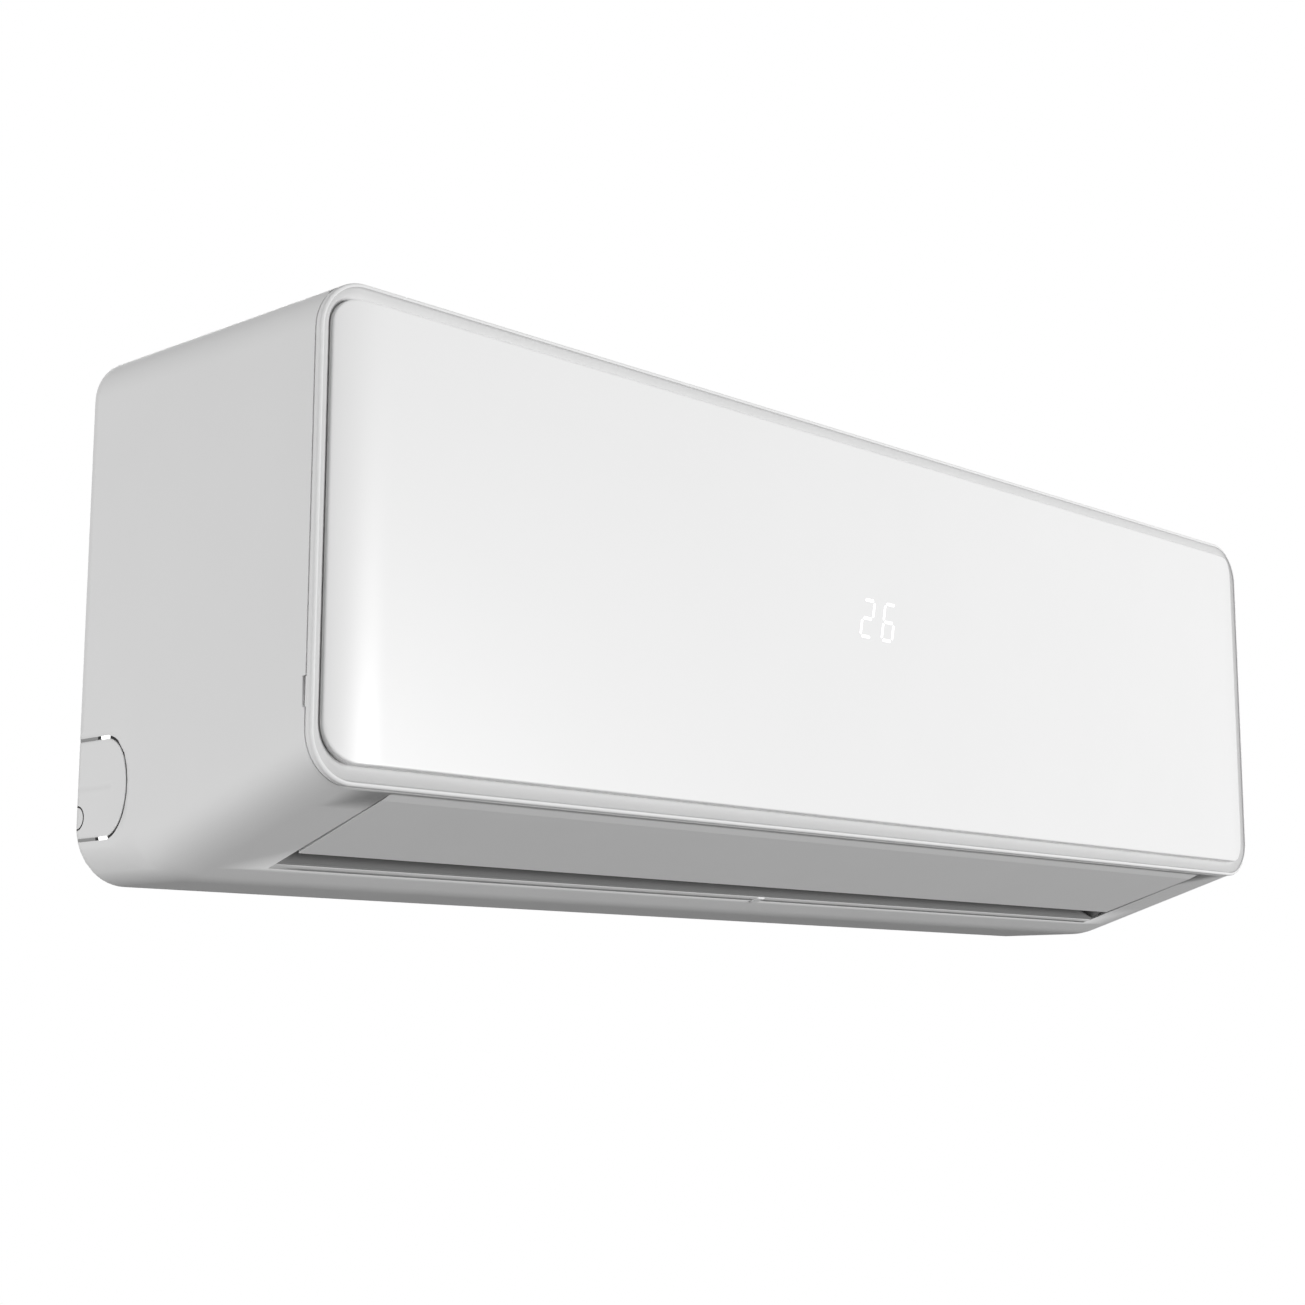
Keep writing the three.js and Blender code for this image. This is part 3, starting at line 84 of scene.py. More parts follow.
lampPlaces = {  # place in metres, watts, size in metres
    "frontLamp": ((2.3, -5.4, -0.4), 346, 2.6),
    "leftLamp": ((-3.2, 0.3, -0.5), 68, 2.2),
    "topLamp": ((0.2, -0.6, 2.8), 20, 2.4),
    "backLamp": ((1.8, 3.6, 1.2), 90, 2.4),
}


def hangLamp(name, place, watts, size):
    light = bpy.data.lights.new(name, "AREA")
    light.energy = watts
    light.shape = "DISK"
    light.size = size
    holder = bpy.data.objects.new(name, light)
    back = np.array(place) / np.linalg.norm(place)
    side = np.cross((0.0, 0.0, 1.0), back)
    side = side / np.linalg.norm(side)
    turn = np.eye(4)
    turn[:3, 0], turn[:3, 1], turn[:3, 2], turn[:3, 3] = side, np.cross(back, side), back, place
    holder.matrix_world = Matrix(turn.tolist())
    bpy.context.collection.objects.link(holder)


for name, (place, watts, size) in lampPlaces.items():
    hangLamp(name, place, watts, size)


class Wire:  # a shader socket that takes part in plain sums
    def __init__(self, finish, socket):
        self.finish = finish
        self.socket = socket

    def sum(self, operation, first, second):
        return self.finish.add("ShaderNodeMath", {"operation": operation}, {0: first, 1: second})

    def __add__(self, other):
        return self.sum("ADD", self, other)

    def __sub__(self, other):
        return self.sum("SUBTRACT", self, other)

    def __mul__(self, other):
        return self.sum("MULTIPLY", self, other)

    def __truediv__(self, other):
        return self.sum("DIVIDE", self, other)

    def __rsub__(self, other):
        return self.sum("SUBTRACT", other, self)

    __radd__ = __add__
    __rmul__ = __mul__


class Finish:  # one material and the nodes in it
    def __init__(self, name):
        self.material = bpy.data.materials.new(name)
        self.material.use_nodes = True
        self.nodes = self.material.node_tree.nodes
        self.links = self.material.node_tree.links
        self.nodes.clear()
        self.end = self.nodes.new("ShaderNodeOutputMaterial")

    def add(self, kind, settings=None, values=None, out=0):
        node = self.nodes.new(kind)
        for key, value in (settings or {}).items():
            setattr(node, key, value)
        for key, value in (values or {}).items():
            if isinstance(value, Wire):
                self.links.new(value.socket, node.inputs[key])
            else:
                node.inputs[key].default_value = value
        return Wire(self, node.outputs[out])

    def place(self):  # Object coordinates: metres in the unit's own frame
        return self.add("ShaderNodeTexCoord", out="Object")

    def axes(self):
        split = self.add("ShaderNodeSeparateXYZ", values={0: self.place()}).socket.node
        return [Wire(self, socket) for socket in split.outputs]

    def noise(self, size, detail=2.0, roughness=0.5, stretch=None):  # size is one blotch in millimetres
        place = self.place()
        if stretch:
            place = self.add("ShaderNodeMapping", values={"Vector": place, "Scale": stretch})
        return self.add("ShaderNodeTexNoise", values={
            "Vector": place, "Scale": 1000 / size, "Detail": detail, "Roughness": roughness})

    def mix(self, share, first, second):
        return self.add("ShaderNodeMix", {"data_type": "RGBA"}, {0: share, 6: first, 7: second}, out=2)

    def bump(self, height, distance, strength=1.0):  # distance in millimetres
        return self.add("ShaderNodeBump", values={
            "Height": height, "Distance": distance * mm, "Strength": strength})

    def surface(self, values):
        shader = self.add("ShaderNodeBsdfPrincipled", values=values)
        self.links.new(shader.socket, self.end.inputs["Surface"])
        return self.material


def grey(level):  # an sRGB level from 0 to 255 as a linear grey
    return paint(level, level, level)


def paint(red, green, blue):
    linear = [(c / 255 / 12.92) if c <= 10 else ((c / 255 + 0.055) / 1.055) ** 2.4 for c in (red, green, blue)]
    return (*linear, 1.0)


def shade(colour, factor):
    return tuple(min(c * factor, 1.0) for c in colour[:3]) + (1.0,)


def mouldedPlastic(name, look):
    # colour drifts over blotches of a hand's width, and a fine grain lifts the skin by a few microns
    finish = Finish(name)
    blotch = finish.noise(60, 3.0)
    grain = finish.noise(look.get("grain", 0.7), 2.0, 0.6)
    colour = finish.mix(blotch, look["colour"], shade(look["colour"], 0.965))
    rough = look["rough"] - 0.03 + blotch * 0.06 + grain * 0.03
    return finish.surface({
        "Base Color": colour, "Roughness": rough,
        "Normal": finish.bump(grain, 0.02, look.get("strength", 0.35)),
        "Specular IOR Level": look.get("specular", 0.5)})


def rolledMetal(name, look):
    # faint drawing lines run along X, and the shine breaks up in soft patches
    finish = Finish(name)
    patches = finish.noise(look.get("blotch", 18), 4.0)
    lines = finish.noise(0.5, 2.0, 0.6, (0.04, 1.0, 1.0))
    colour = finish.mix(patches * 0.7, look["colour"], shade(look["colour"], 0.8))
    rough = look["rough"] + patches * 0.12 + lines * 0.08 - 0.08
    return finish.surface({
        "Base Color": colour, "Roughness": rough, "Metallic": 1.0,
        "Normal": finish.bump(lines, 0.02, 0.3)})


def finStack(name, look):
    # thin fins stand square to X at an even pitch; the gaps between them are darkened, painted shade
    finish = Finish(name)
    alongX = finish.axes()[0]
    wave = finish.add("ShaderNodeMath", {"operation": "PINGPONG"}, {0: alongX, 1: look["pitch"] * mm / 2})
    edge = wave / (look["pitch"] * mm / 2)
    dents = finish.noise(9, 3.0)
    gapPaintedShade = finish.add("ShaderNodeMapRange", values={
        "Value": edge, "From Min": 0.25, "From Max": 0.6, "To Min": 0.0, "To Max": 1.0})
    colour = finish.mix(gapPaintedShade, look["colour"], shade(look["colour"], 0.22))
    return finish.surface({
        "Base Color": colour, "Roughness": look["rough"] + dents * 0.15, "Metallic": 0.75,
        "Normal": finish.bump(1 - edge, 0.5, 0.5)})


def printedBoard(name, look):
    # green lacquer over copper tracks that follow a square raster
    finish = Finish(name)
    tracks = finish.add("ShaderNodeTexBrick", {"offset": 0.37, "squash": 1.0}, {
        "Vector": finish.place(), "Scale": 160.0, "Mortar Size": 0.028,
        "Color1": (0, 0, 0, 1), "Color2": (0, 0, 0, 1), "Mortar": (1, 1, 1, 1)}, out=1)
    colour = finish.mix(tracks, look["colour"], shade(look["colour"], 1.9))
    return finish.surface({
        "Base Color": colour, "Roughness": 0.35 + finish.noise(12) * 0.1,
        "Normal": finish.bump(tracks, 0.04, 0.5)})


finishLooks = {
    "casingWhite": {"colour": grey(233), "rough": 0.48, "specular": 0.2},
    "panelWhite": {"colour": grey(236), "rough": 0.3, "grain": 1.4, "strength": 0.15, "specular": 0.45},
    "innerWhite": {"colour": grey(222), "rough": 0.5},
    "innerGrey": {"colour": grey(176), "rough": 0.55},
    # the chassis's own grey, also used as painted shade for the slots in the pipe cover's gap
    "ductGreyAndGapShade": {"colour": grey(150), "rough": 0.5},
    "darkPlastic": {"colour": grey(70), "rough": 0.55},
    "blackPlastic": {"colour": grey(40), "rough": 0.5},
    "fanGrey": {"colour": grey(96), "rough": 0.5},
    "rubberBlack": {"colour": grey(38), "rough": 0.85, "strength": 0.6},
    # painted shade: the trough inside the door frame's lip is greyed where shade falls between lip and panel
    "troughPaintedShade": {"colour": grey(204), "rough": 0.5},
    # painted shade: near black for the strip under the pipe cover's gap, the knock-out's groove, the bridges
    # in the cover's gap and the screws' cross recesses
    "paintedShadeBlack": {"colour": grey(30), "rough": 0.8},
}
finishes = {name: mouldedPlastic(name, look) for name, look in finishLooks.items()}
finishes["zincSteel"] = rolledMetal("zincSteel", {"colour": grey(176), "rough": 0.42, "blotch": 14})
finishes["brightSteel"] = rolledMetal("brightSteel", {"colour": grey(200), "rough": 0.28, "blotch": 30})
finishes["copperTube"] = rolledMetal("copperTube", {"colour": paint(196, 118, 78), "rough": 0.34})
finishes["brassNut"] = rolledMetal("brassNut", {"colour": paint(196, 160, 86), "rough": 0.32})
finishes["coilFins"] = finStack("coilFins", {"colour": grey(196), "rough": 0.35, "pitch": 1.8})
finishes["boardGreen"] = printedBoard("boardGreen", {"colour": paint(40, 96, 62)})
# the display digits' own glow; the same glowing finish is painted light in the slots of the pipe cover's gap
glowFinish = Finish("digitGlowAndPaintedLight")
glow = glowFinish.noise(4.0)
finishes["digitGlowAndPaintedLight"] = glowFinish.surface({
    "Base Color": grey(250), "Roughness": 0.4, "Emission Strength": 0.9,
    "Emission Color": glowFinish.mix(glow, grey(255), grey(250))})
print("finishes made", len(finishes))

nodeFinishes = {
    "casingWhite": ["casing", "pipe_cover_left", "pipe_cover_right", "louver", "panel_frame"],
    "panelWhite": ["front_panel"],
    "ductGreyAndGapShade": ["chassis"],
    "innerWhite": ["intake_grille", "control_box", "control_box_cover", "louver_pivot",
                   "louver_support", "drain_spigot", "panel_latch_left", "panel_latch_right", "manual_button"],
    "innerGrey": ["filter_left", "filter_right", "drain_pan", "terminal_block"],
    "darkPlastic": ["display_module"],
    "blackPlastic": ["room_sensor"],
    "fanGrey": ["fan_wheel"],
    "rubberBlack": ["bearing_holder", "drain_plug"],
    "zincSteel": ["wall_plate", "motor_bracket", "tube_sheet_left", "tube_sheet_right"],
    "brightSteel": ["hinge_pin_left", "hinge_pin_right", "louver_motor", "fan_motor", "motor_shaft",
                    "fan_stub_shaft", "fan_bearing", "pipe_clamp"],
    "copperTube": ["gas_pipe", "liquid_pipe", "coil_sensor"],
    "brassNut": ["flare_nut_gas", "flare_nut_liquid"],
    "coilFins": ["coil_front", "coil_top", "coil_rear"],
    "boardGreen": ["control_board"],
}


def dressNodes():
    # vanes, tie bars and whatever has no line of its own take the inner white
    chosen = {node: finish for finish, nodes in nodeFinishes.items() for node in nodes}
    for node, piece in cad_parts.items():
        piece.data.materials.clear()
        piece.data.materials.append(finishes[chosen.get(node, "innerWhite")])


dressNodes()


floorLook = {
    "drop": 1.7, "radius": 4.5, "steps": 64,  # in metres below the unit's middle, and round
    "shown": grey(246), "glow": 0.42, "bounce": grey(68), "gloss": 0.42,
}
skyDim = 0.07


def layFloor(look):
    # a disc: rings of growing radius, each a circle; it bounces less light than it shows
    angle = np.linspace(0, 2 * np.pi, look["steps"], endpoint=False)
    radius = np.array((0.0, 1.0, look["radius"]))[:, None]
    x, y = radius * np.cos(angle), radius * np.sin(angle)
    points = np.stack((x, y, np.full_like(x, -look["drop"])), axis=-1)
    floor = makeMesh("floor", points.reshape(-1, 3) / mm, wrappedQuads(len(radius), look["steps"])[:, ::-1])
    tidyMesh(floor, outward=False)
    finish = Finish("floorPale")
    lit = finish.add("ShaderNodeBsdfDiffuse", values={"Color": look["shown"]})
    glow = finish.add("ShaderNodeEmission", values={"Color": look["shown"], "Strength": look["glow"]})
    shown = finish.add("ShaderNodeAddShader", values={0: lit, 1: glow})
    bounced = finish.add("ShaderNodeBsdfDiffuse", values={"Color": look["bounce"]})
    camera, glossy, through = (finish.add("ShaderNodeLightPath", out=f"Is {kind} Ray")
                               for kind in ("Camera", "Glossy", "Transmission"))
    ray = camera.sum("MAXIMUM", camera.sum("MAXIMUM", camera, glossy * look["gloss"]), through)
    above = finish.add("ShaderNodeMixShader", values={0: ray, 1: bounced, 2: shown})
    below = finish.add("ShaderNodeNewGeometry", out="Backfacing")  # seen from under it, the floor isn't there
    clear = finish.add("ShaderNodeBsdfTransparent")
    both = finish.add("ShaderNodeMixShader", values={0: below, 1: above, 2: clear})
    finish.links.new(both.socket, finish.end.inputs["Surface"])
    floor.data.materials.append(finish.material)


def paintWorld(dim, white, gloss):
    # the camera and transmission rays see plain white, glossy rays a share of it; everything else a dimmer sky
    world = bpy.data.worlds.new("studio")
    bpy.context.scene.world = world
    world.use_nodes = True
    nodes, links = world.node_tree.nodes, world.node_tree.links
    nodes.clear()
    paths = nodes.new("ShaderNodeLightPath")
    seen = paths.outputs["Is Camera Ray"]
    for kind, share in (("Is Glossy Ray", gloss), ("Is Transmission Ray", 1.0)):
        part, either = nodes.new("ShaderNodeMath"), nodes.new("ShaderNodeMath")
        part.operation, either.operation = "MULTIPLY", "MAXIMUM"
        part.inputs[1].default_value = share
        links.new(paths.outputs[kind], part.inputs[0])
        links.new(seen, either.inputs[0])
        links.new(part.outputs[0], either.inputs[1])
        seen = either.outputs[0]
    sky, seenSky = nodes.new("ShaderNodeBackground"), nodes.new("ShaderNodeBackground")
    sky.inputs["Color"].default_value = (1, 1, 1, 1)
    sky.inputs["Strength"].default_value = dim
    seenSky.inputs["Color"].default_value = (1, 1, 1, 1)
    seenSky.inputs["Strength"].default_value = white
    mixed = nodes.new("ShaderNodeMixShader")
    end = nodes.new("ShaderNodeOutputWorld")
    links.new(seen, mixed.inputs[0])
    links.new(sky.outputs[0], mixed.inputs[1])
    links.new(seenSky.outputs[0], mixed.inputs[2])
    links.new(mixed.outputs[0], end.inputs["Surface"])


def quads(rows, columns):
    first = (np.arange(rows - 1)[:, None] * columns + np.arange(columns - 1)).reshape(-1)
    return np.stack((first, first + 1, first + 1 + columns, first + columns), axis=-1)


def wrappedQuads(rows, columns):
    start = np.arange(rows - 1)[:, None] * columns
    first = (start + np.arange(columns)).reshape(-1)
    second = (start + (np.arange(columns) + 1) % columns).reshape(-1)
    return np.stack((first, second, second + columns, first + columns), axis=-1)


def makeMesh(name, points, faces, smooth=True):
    mesh = bpy.data.meshes.new(name)
    points = np.asarray(points, dtype=np.float32).reshape(-1, 3) * mm
    faces = np.asarray(faces, dtype=np.int32)
    mesh.vertices.add(len(points))
    mesh.vertices.foreach_set("co", points.reshape(-1))
    mesh.loops.add(faces.size)
    mesh.loops.foreach_set("vertex_index", faces.reshape(-1))
    mesh.polygons.add(len(faces))
    mesh.polygons.foreach_set("loop_start", np.arange(0, faces.size, faces.shape[1], dtype=np.int32))
    mesh.polygons.foreach_set("use_smooth", np.full(len(faces), smooth))
    mesh.update(calc_edges=True)
    mesh.validate()
    piece = bpy.data.objects.new(name, mesh)
    bpy.context.collection.objects.link(piece)
    return piece


def tidyMesh(piece, merge=0.02, outward=True):
    # equal points become one, empty faces go, and faces are turned outwards
    work = bmesh.new()
    work.from_mesh(piece.data)
    bmesh.ops.remove_doubles(work, verts=work.verts, dist=merge * mm)
    bmesh.ops.dissolve_degenerate(work, edges=work.edges, dist=merge * mm / 4)
    if outward:
        bmesh.ops.recalc_face_normals(work, faces=work.faces)
    work.to_mesh(piece.data)
    work.free()


def dress(piece, body, finish, *nodes):
    piece.data.materials.append(finishes[finish])
    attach(piece, body)
    if nodes:
        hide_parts(*nodes)
    return piece


layFloor(floorLook)
paintWorld(skyDim, 1.0, floorLook["gloss"])
print("floor and background made")

casingLow, casingHigh = (np.array(corner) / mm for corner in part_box("casing"))
doorLow, doorHigh = (np.array(corner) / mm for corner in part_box("panel_frame"))
panelLow, panelHigh = (np.array(corner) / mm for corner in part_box("front_panel"))
halfLength = casingHigh[0]
topEdge, bottomEdge = casingHigh[2], casingLow[2]
seamWide, wallThick = 0.4, 2.5
casingFront, casingBack = doorHigh[1] + seamWide, casingHigh[1]  # the hinge ears stand further forward


def bend(first, second, share):
    return first + (second - first) * share


def quarter(start, steps):  # angles of a quarter circle that begins at this many degrees
    return np.radians(start + 90 * np.arange(steps + 1) / steps)


def column(values):
    return np.atleast_1d(np.asarray(values, dtype=float))[:, None]


def roundedLoops(y, side, low, high, topRadius, bottomRadius, steps, bottomX, rightZ, topX=None):
    # one loop per row, in a plane of constant y: four quarter circles joined by straight runs whose stations
    # are given; bottomX and rightZ hold one row each per loop, in rising order
    y, side, low, high, topRadius, bottomRadius = np.broadcast_arrays(
        *(column(value) for value in (y, side, low, high, topRadius, bottomRadius)))
    rows = y.shape[0]
    spread = np.ones((rows, 1))
    bottomX, rightZ = spread * np.atleast_2d(bottomX), spread * np.atleast_2d(rightZ)
    topX = bottomX if topX is None else spread * np.atleast_2d(topX)

    def arc(centreX, centreZ, radius, start):
        angle = quarter(start, steps)
        return centreX + radius * np.cos(angle), centreZ + radius * np.sin(angle)

    parts = [
        arc(side - bottomRadius, low + bottomRadius, bottomRadius, -90),
        (side * np.ones_like(rightZ), rightZ),
        arc(side - topRadius, high - topRadius, topRadius, 0),
        (topX[:, ::-1], high * np.ones_like(topX)),
        arc(topRadius - side, high - topRadius, topRadius, 90),
        (-side * np.ones_like(rightZ), rightZ[:, ::-1]),
        arc(bottomRadius - side, low + bottomRadius, bottomRadius, 180),
        (bottomX, low * np.ones_like(bottomX)),
    ]
    x = np.concatenate([part[0] for part in parts], axis=1)
    z = np.concatenate([part[1] for part in parts], axis=1)
    return np.stack((x, y * np.ones_like(x), z), axis=-1)


def solidify(piece, thickness, offset=-1.0):
    coat = piece.modifiers.new("wall", "SOLIDIFY")
    coat.thickness = thickness * mm
    coat.offset = offset
    return piece


def roundEdges(piece, width, segments=2, angle=40):
    edge = piece.modifiers.new("edges", "BEVEL")
    edge.width = width * mm
    edge.segments = segments
    edge.limit_method = "ANGLE"
    edge.angle_limit = math.radians(angle)
    edge.harden_normals = True
    return piece


def twoSided(name, front, back, smooth=True):
    # two grids of the same size become one closed body: each is a side, and strips join their edges
    rows, columns = front.shape[:2]
    count = rows * columns
    grid = quads(rows, columns)
    rim = np.concatenate((
        np.arange(columns), np.arange(1, rows) * columns + columns - 1,
        (rows - 1) * columns + np.arange(columns - 2, -1, -1), np.arange(rows - 2, 0, -1) * columns))
    following = np.roll(rim, -1)
    strip = np.stack((rim, rim + count, following + count, following), axis=-1)
    piece = makeMesh(name, np.concatenate((front.reshape(-1, 3), back.reshape(-1, 3))),
                     np.concatenate((grid, grid[:, ::-1] + count, strip)), smooth)
    tidyMesh(piece)
    return piece


def blockPiece(name, body, finish, x, y, z, edge=0.4):
    # a block between two corners, its edges rounded
    xs, zs = np.meshgrid(np.array(x, float), np.array(z, float))
    front = np.stack((xs, np.full_like(xs, y[0]), zs), axis=-1)
    back = np.stack((xs, np.full_like(xs, y[1]), zs), axis=-1)
    return dress(roundEdges(twoSided(name, front, back, False), edge), body, finish)


casingLook = {
    "topRadius": 27, "bottomRadius": (26, 30), "slope": 17.39, "slopeEnd": 8,
    "windowX": 402, "windowZ": (-81.1, 108), "windowRadius": 6,
    "frontRound": 0.3, "seamClose": -0.3, "relief": 3.0, "reliefZ": 135.8,
    "notchDeep": 6, "notchZ": (-67.7, -52.9), "notchBack": -187.0,
    "outletX": (375.6, 373.2), "outletBack": -88.9, "outletStrip": 4, "middleY": -120, "easingSteps": 7,
    "filterX": (-367.3, 331.3), "filterY": (-165.3, -42.7), "arcSteps": 14,
    "coverPatchFront": -56.0, "coverPatchArc": 6, "coverTop": -67.2, "coverBottom": -119.2, "coverNose": -45.0,
    "coverStraight": -27.0, "coverGap": 0.8, "coverSteps": 13,
    "coverBow": (1, 3), "coverPoints": 61, "coverInset": 0.08,
    "coverRings": (0, 0.02, 0.05, 0.15, 0.25, 0.35, 0.45, 0.55, 0.65, 0.75, 0.85, 1.0),
    "patchRings": (0, 0.35, 0.7, 1.0), "merge": 0.02, "normalWeight": 60,
}


def undersideAt(y, look=casingLook):
    # a straight slope from the frame's lower edge, then a parabola that ends level at the wall side
    slope = math.tan(math.radians(look["slope"]))
    level = casingFront + (doorLow[2] - bottomEdge) / slope
    reach = look["slopeEnd"]
    sloped = doorLow[2] - (y - casingFront) * slope
    eased = bottomEdge + slope * (level + reach - y) ** 2 / (4 * reach)
    return np.where(y < level - reach, sloped, np.where(y > level + reach, bottomEdge, eased))


def bottomRadiusAt(y, look=casingLook):
    share = np.clip((y - casingFront) / (casingBack - casingFront), 0, 1)
    return bend(*look["bottomRadius"], share)


def sideAt(y, z):
    # distance of the side wall from the middle: flat above, a quarter circle below
    radius = bottomRadiusAt(y)
    drop = np.clip(undersideAt(y) + radius - z, 0, radius)
    return halfLength - radius + np.sqrt(radius ** 2 - drop ** 2)


def coverOutline(look, grow, count):
    # a straight edge, two parabolas that meet at the nose, a straight edge: from the wall round to the wall
    top, bottom = look["coverTop"] + grow, look["coverBottom"] - grow
    nose, straight = look["coverNose"] - grow, look["coverStraight"]
    middle = (top + bottom) / 2
    forward, along = look["coverBow"]
    share = np.linspace(0, 1, 24)[:, None]

    def parabola(start, handle, end):
        return (1 - share) ** 2 * start + 2 * share * (1 - share) * handle + share ** 2 * end

    points = np.concatenate((
        [[casingBack, bottom]],
        parabola(np.array((straight, bottom)), np.array((nose + forward, bottom + along)),
                 np.array((nose, middle))),
        parabola(np.array((nose, middle)), np.array((nose + forward, top - along)),
                 np.array((straight, top)))[1:],
        [[casingBack, top]]))
    walked = np.concatenate(([0], np.cumsum(np.linalg.norm(np.diff(points, axis=0), axis=1))))
    at = np.linspace(0, walked[-1], count) if np.isscalar(count) else np.asarray(count) * walked[-1]
    return np.stack((np.interp(at, walked, points[:, 0]), np.interp(at, walked, points[:, 1])), axis=-1)


def makeCasing(look):
    # loops of the casing's section stand along y; the cells of each opening are left out, and on both sides
    # a patch of rings leads from the square of cells left out to the outline of the pipe cover
    rounding, front = look["frontRound"], casingFront - look["seamClose"]
    coverY = np.linspace(look["coverPatchFront"], casingBack, look["coverSteps"])
    level = casingFront + (doorLow[2] - bottomEdge) / math.tan(math.radians(look["slope"]))
    easing = np.linspace(level - look["slopeEnd"], level + look["slopeEnd"], look["easingSteps"])
    y = np.concatenate((
        [front, front, front, front + rounding * 0.3, front + rounding],
        [look["notchBack"], look["filterY"][0], look["middleY"]],
        [look["outletBack"], look["outletBack"] + look["outletStrip"]],
        easing, coverY))
    y = np.concatenate((y[:5], np.unique(np.round(np.concatenate((y[5:], [look["filterY"][1]])), 3))))
    inset = np.zeros_like(y)
    inset[1], inset[2], inset[3] = look["notchDeep"], rounding, rounding * 0.3
    low, radius = undersideAt(y), bottomRadiusAt(y)
    outletShare = np.clip((y - look["notchBack"]) / (look["outletBack"] - look["notchBack"]), 0, 1)
    outlet = bend(*look["outletX"], outletShare)
    side = halfLength - inset
    high, topRadius = topEdge - inset, look["topRadius"] - inset
    low, bottomRadius = low + inset, radius - inset
    side[0], high[0], low[0] = look["windowX"], look["windowZ"][1], look["windowZ"][0]
    topRadius[0] = bottomRadius[0] = look["windowRadius"]
    foot = low + bottomRadius
    lift = np.stack([bend(foot, look["notchZ"][0], share) for share in (0.25, 0.5, 0.75)]
                    + [np.full_like(y, value) for value in look["notchZ"]], axis=-1)
    loops = roundedLoops(y, side, low, high, topRadius, bottomRadius, look["arcSteps"],
                         np.stack((-outlet, outlet), axis=-1), lift, np.array(look["filterX"]))
    # along the top the front edge stands back, so that the door's upper edge can swing past it
    eased = casingFront + look["relief"] + (loops[1:6, :, 1] - front) * 0.1
    loops[1:6, :, 1] = np.where(loops[1:6, :, 2] > look["reliefZ"], eased, loops[1:6, :, 1])
    rows, columns = loops.shape[:2]
    faces = wrappedQuads(rows, columns).reshape(rows - 1, columns, 4)
    keep = np.ones((rows - 1, columns), bool)
    steps, runs = look["arcSteps"], lift.shape[1]
    # the first four rows share the front plane, so a row looked up by its y is never one of them
    rowAt = {value: int(np.argmin(np.abs(y - value) + 1e3 * (np.arange(rows) < 4))) for value in
             (look["notchBack"], look["outletBack"], *look["filterY"], look["coverPatchFront"])}
    rightStart = steps + 1
    topStart = rightStart + runs + steps + 1
    leftStart = topStart + 2 + steps + 1
    bottomStart = leftStart + runs + steps + 1
    keep[rowAt[look["notchBack"]]:rowAt[look["outletBack"]], bottomStart] = False
    keep[rowAt[look["filterY"][0]]:rowAt[look["filterY"][1]], topStart] = False
    keep[1:rowAt[look["notchBack"]], rightStart + runs - 2] = False
    keep[1:rowAt[look["notchBack"]], leftStart] = False
    first = rowAt[look["coverPatchFront"]]
    rightColumns = np.arange(look["coverPatchArc"], rightStart + runs)  # rising z on the right side
    keep[first:, rightColumns[:-1]] = False
    leftColumns = np.arange(leftStart, leftStart + runs + steps + 1 - look["coverPatchArc"])
    keep[first:, leftColumns[:-1]] = False
    # the patch: its outer edge is the edge of the cells left out, its inner edge the cover's outline
    edge = np.concatenate((loops[:first:-1, rightColumns[0]], loops[first, rightColumns],
                           loops[first + 1:, rightColumns[-1]]))[:, 1:]
    walked = np.concatenate(([0], np.cumsum(np.linalg.norm(np.diff(edge, axis=0), axis=1))))
    inner = coverOutline(look, look["coverGap"], walked / walked[-1])
    share = np.array(look["patchRings"])[:, None, None]
    flat = bend(edge[None], inner[None], share)
    patchX = sideAt(flat[..., 0], flat[..., 1])
    patch = np.stack((patchX, flat[..., 0], flat[..., 1]), axis=-1)
    mirrored = patch * np.array((-1, 1, 1))
    cells = quads(*patch.shape[:2])
    size = patch.shape[0] * patch.shape[1]
    points = np.concatenate((loops.reshape(-1, 3), patch.reshape(-1, 3), mirrored.reshape(-1, 3)))
    faces = np.concatenate((
        faces[keep][:, ::-1], cells[:, ::-1] + rows * columns, cells + rows * columns + size))
    piece = makeMesh("casingShell", points, faces)
    tidyMesh(piece, look["merge"], outward=False)
    return piece


def makePipeCovers(look):
    # rings shrink from the cover's outline to a line in its middle; the skin follows the casing's side
    outline = coverOutline(look, -look["coverGap"], look["coverPoints"])
    middle = np.full(len(outline), (look["coverTop"] + look["coverBottom"]) / 2)
    spine = np.stack((np.maximum(outline[:, 0], look["coverStraight"] - 4), middle), axis=-1)
    share = np.array(look["coverRings"])[:, None, None]
    flat = bend(outline[None], spine[None], share)
    drop = np.full((len(share), 1), look["coverInset"])
    drop[:2, 0] += (0.35, 0.08)  # the edge is rounded over its first two rings
    outer = np.stack((sideAt(flat[..., 0], flat[..., 1]) - drop, flat[..., 0], flat[..., 1]), axis=-1)
    innerSide = outer - np.array((wallThick, 0, 0))
    for name, side in (("pipe_cover_left", -1), ("pipe_cover_right", 1)):
        turn = np.array((side, 1, 1))
        piece = twoSided(name.replace("pipe_cover", "pipeCoverSkin"), outer * turn, innerSide * turn)
        dress(piece, "base", "casingWhite", name)


coverMarks = {
    "knockRadius": 6.0, "knockWide": 0.9, "knockPlace": (-0.6, -107.7), "knockSteps": 25, "knockInset": 0.05,
    "slotTop": (-68.0, -66.4), "slotLow": (-120.0, -118.4), "slotInset": 0.02, "slotSteps": 6,
    "slotBack": (-0.8, -17.2), "bridge": 2.6, "slotFront": (-20.2, -28.0), "deep": 1.2,
    "grooveDeep": 0.5, "grooveThick": 0.6, "under": 0.15,
}


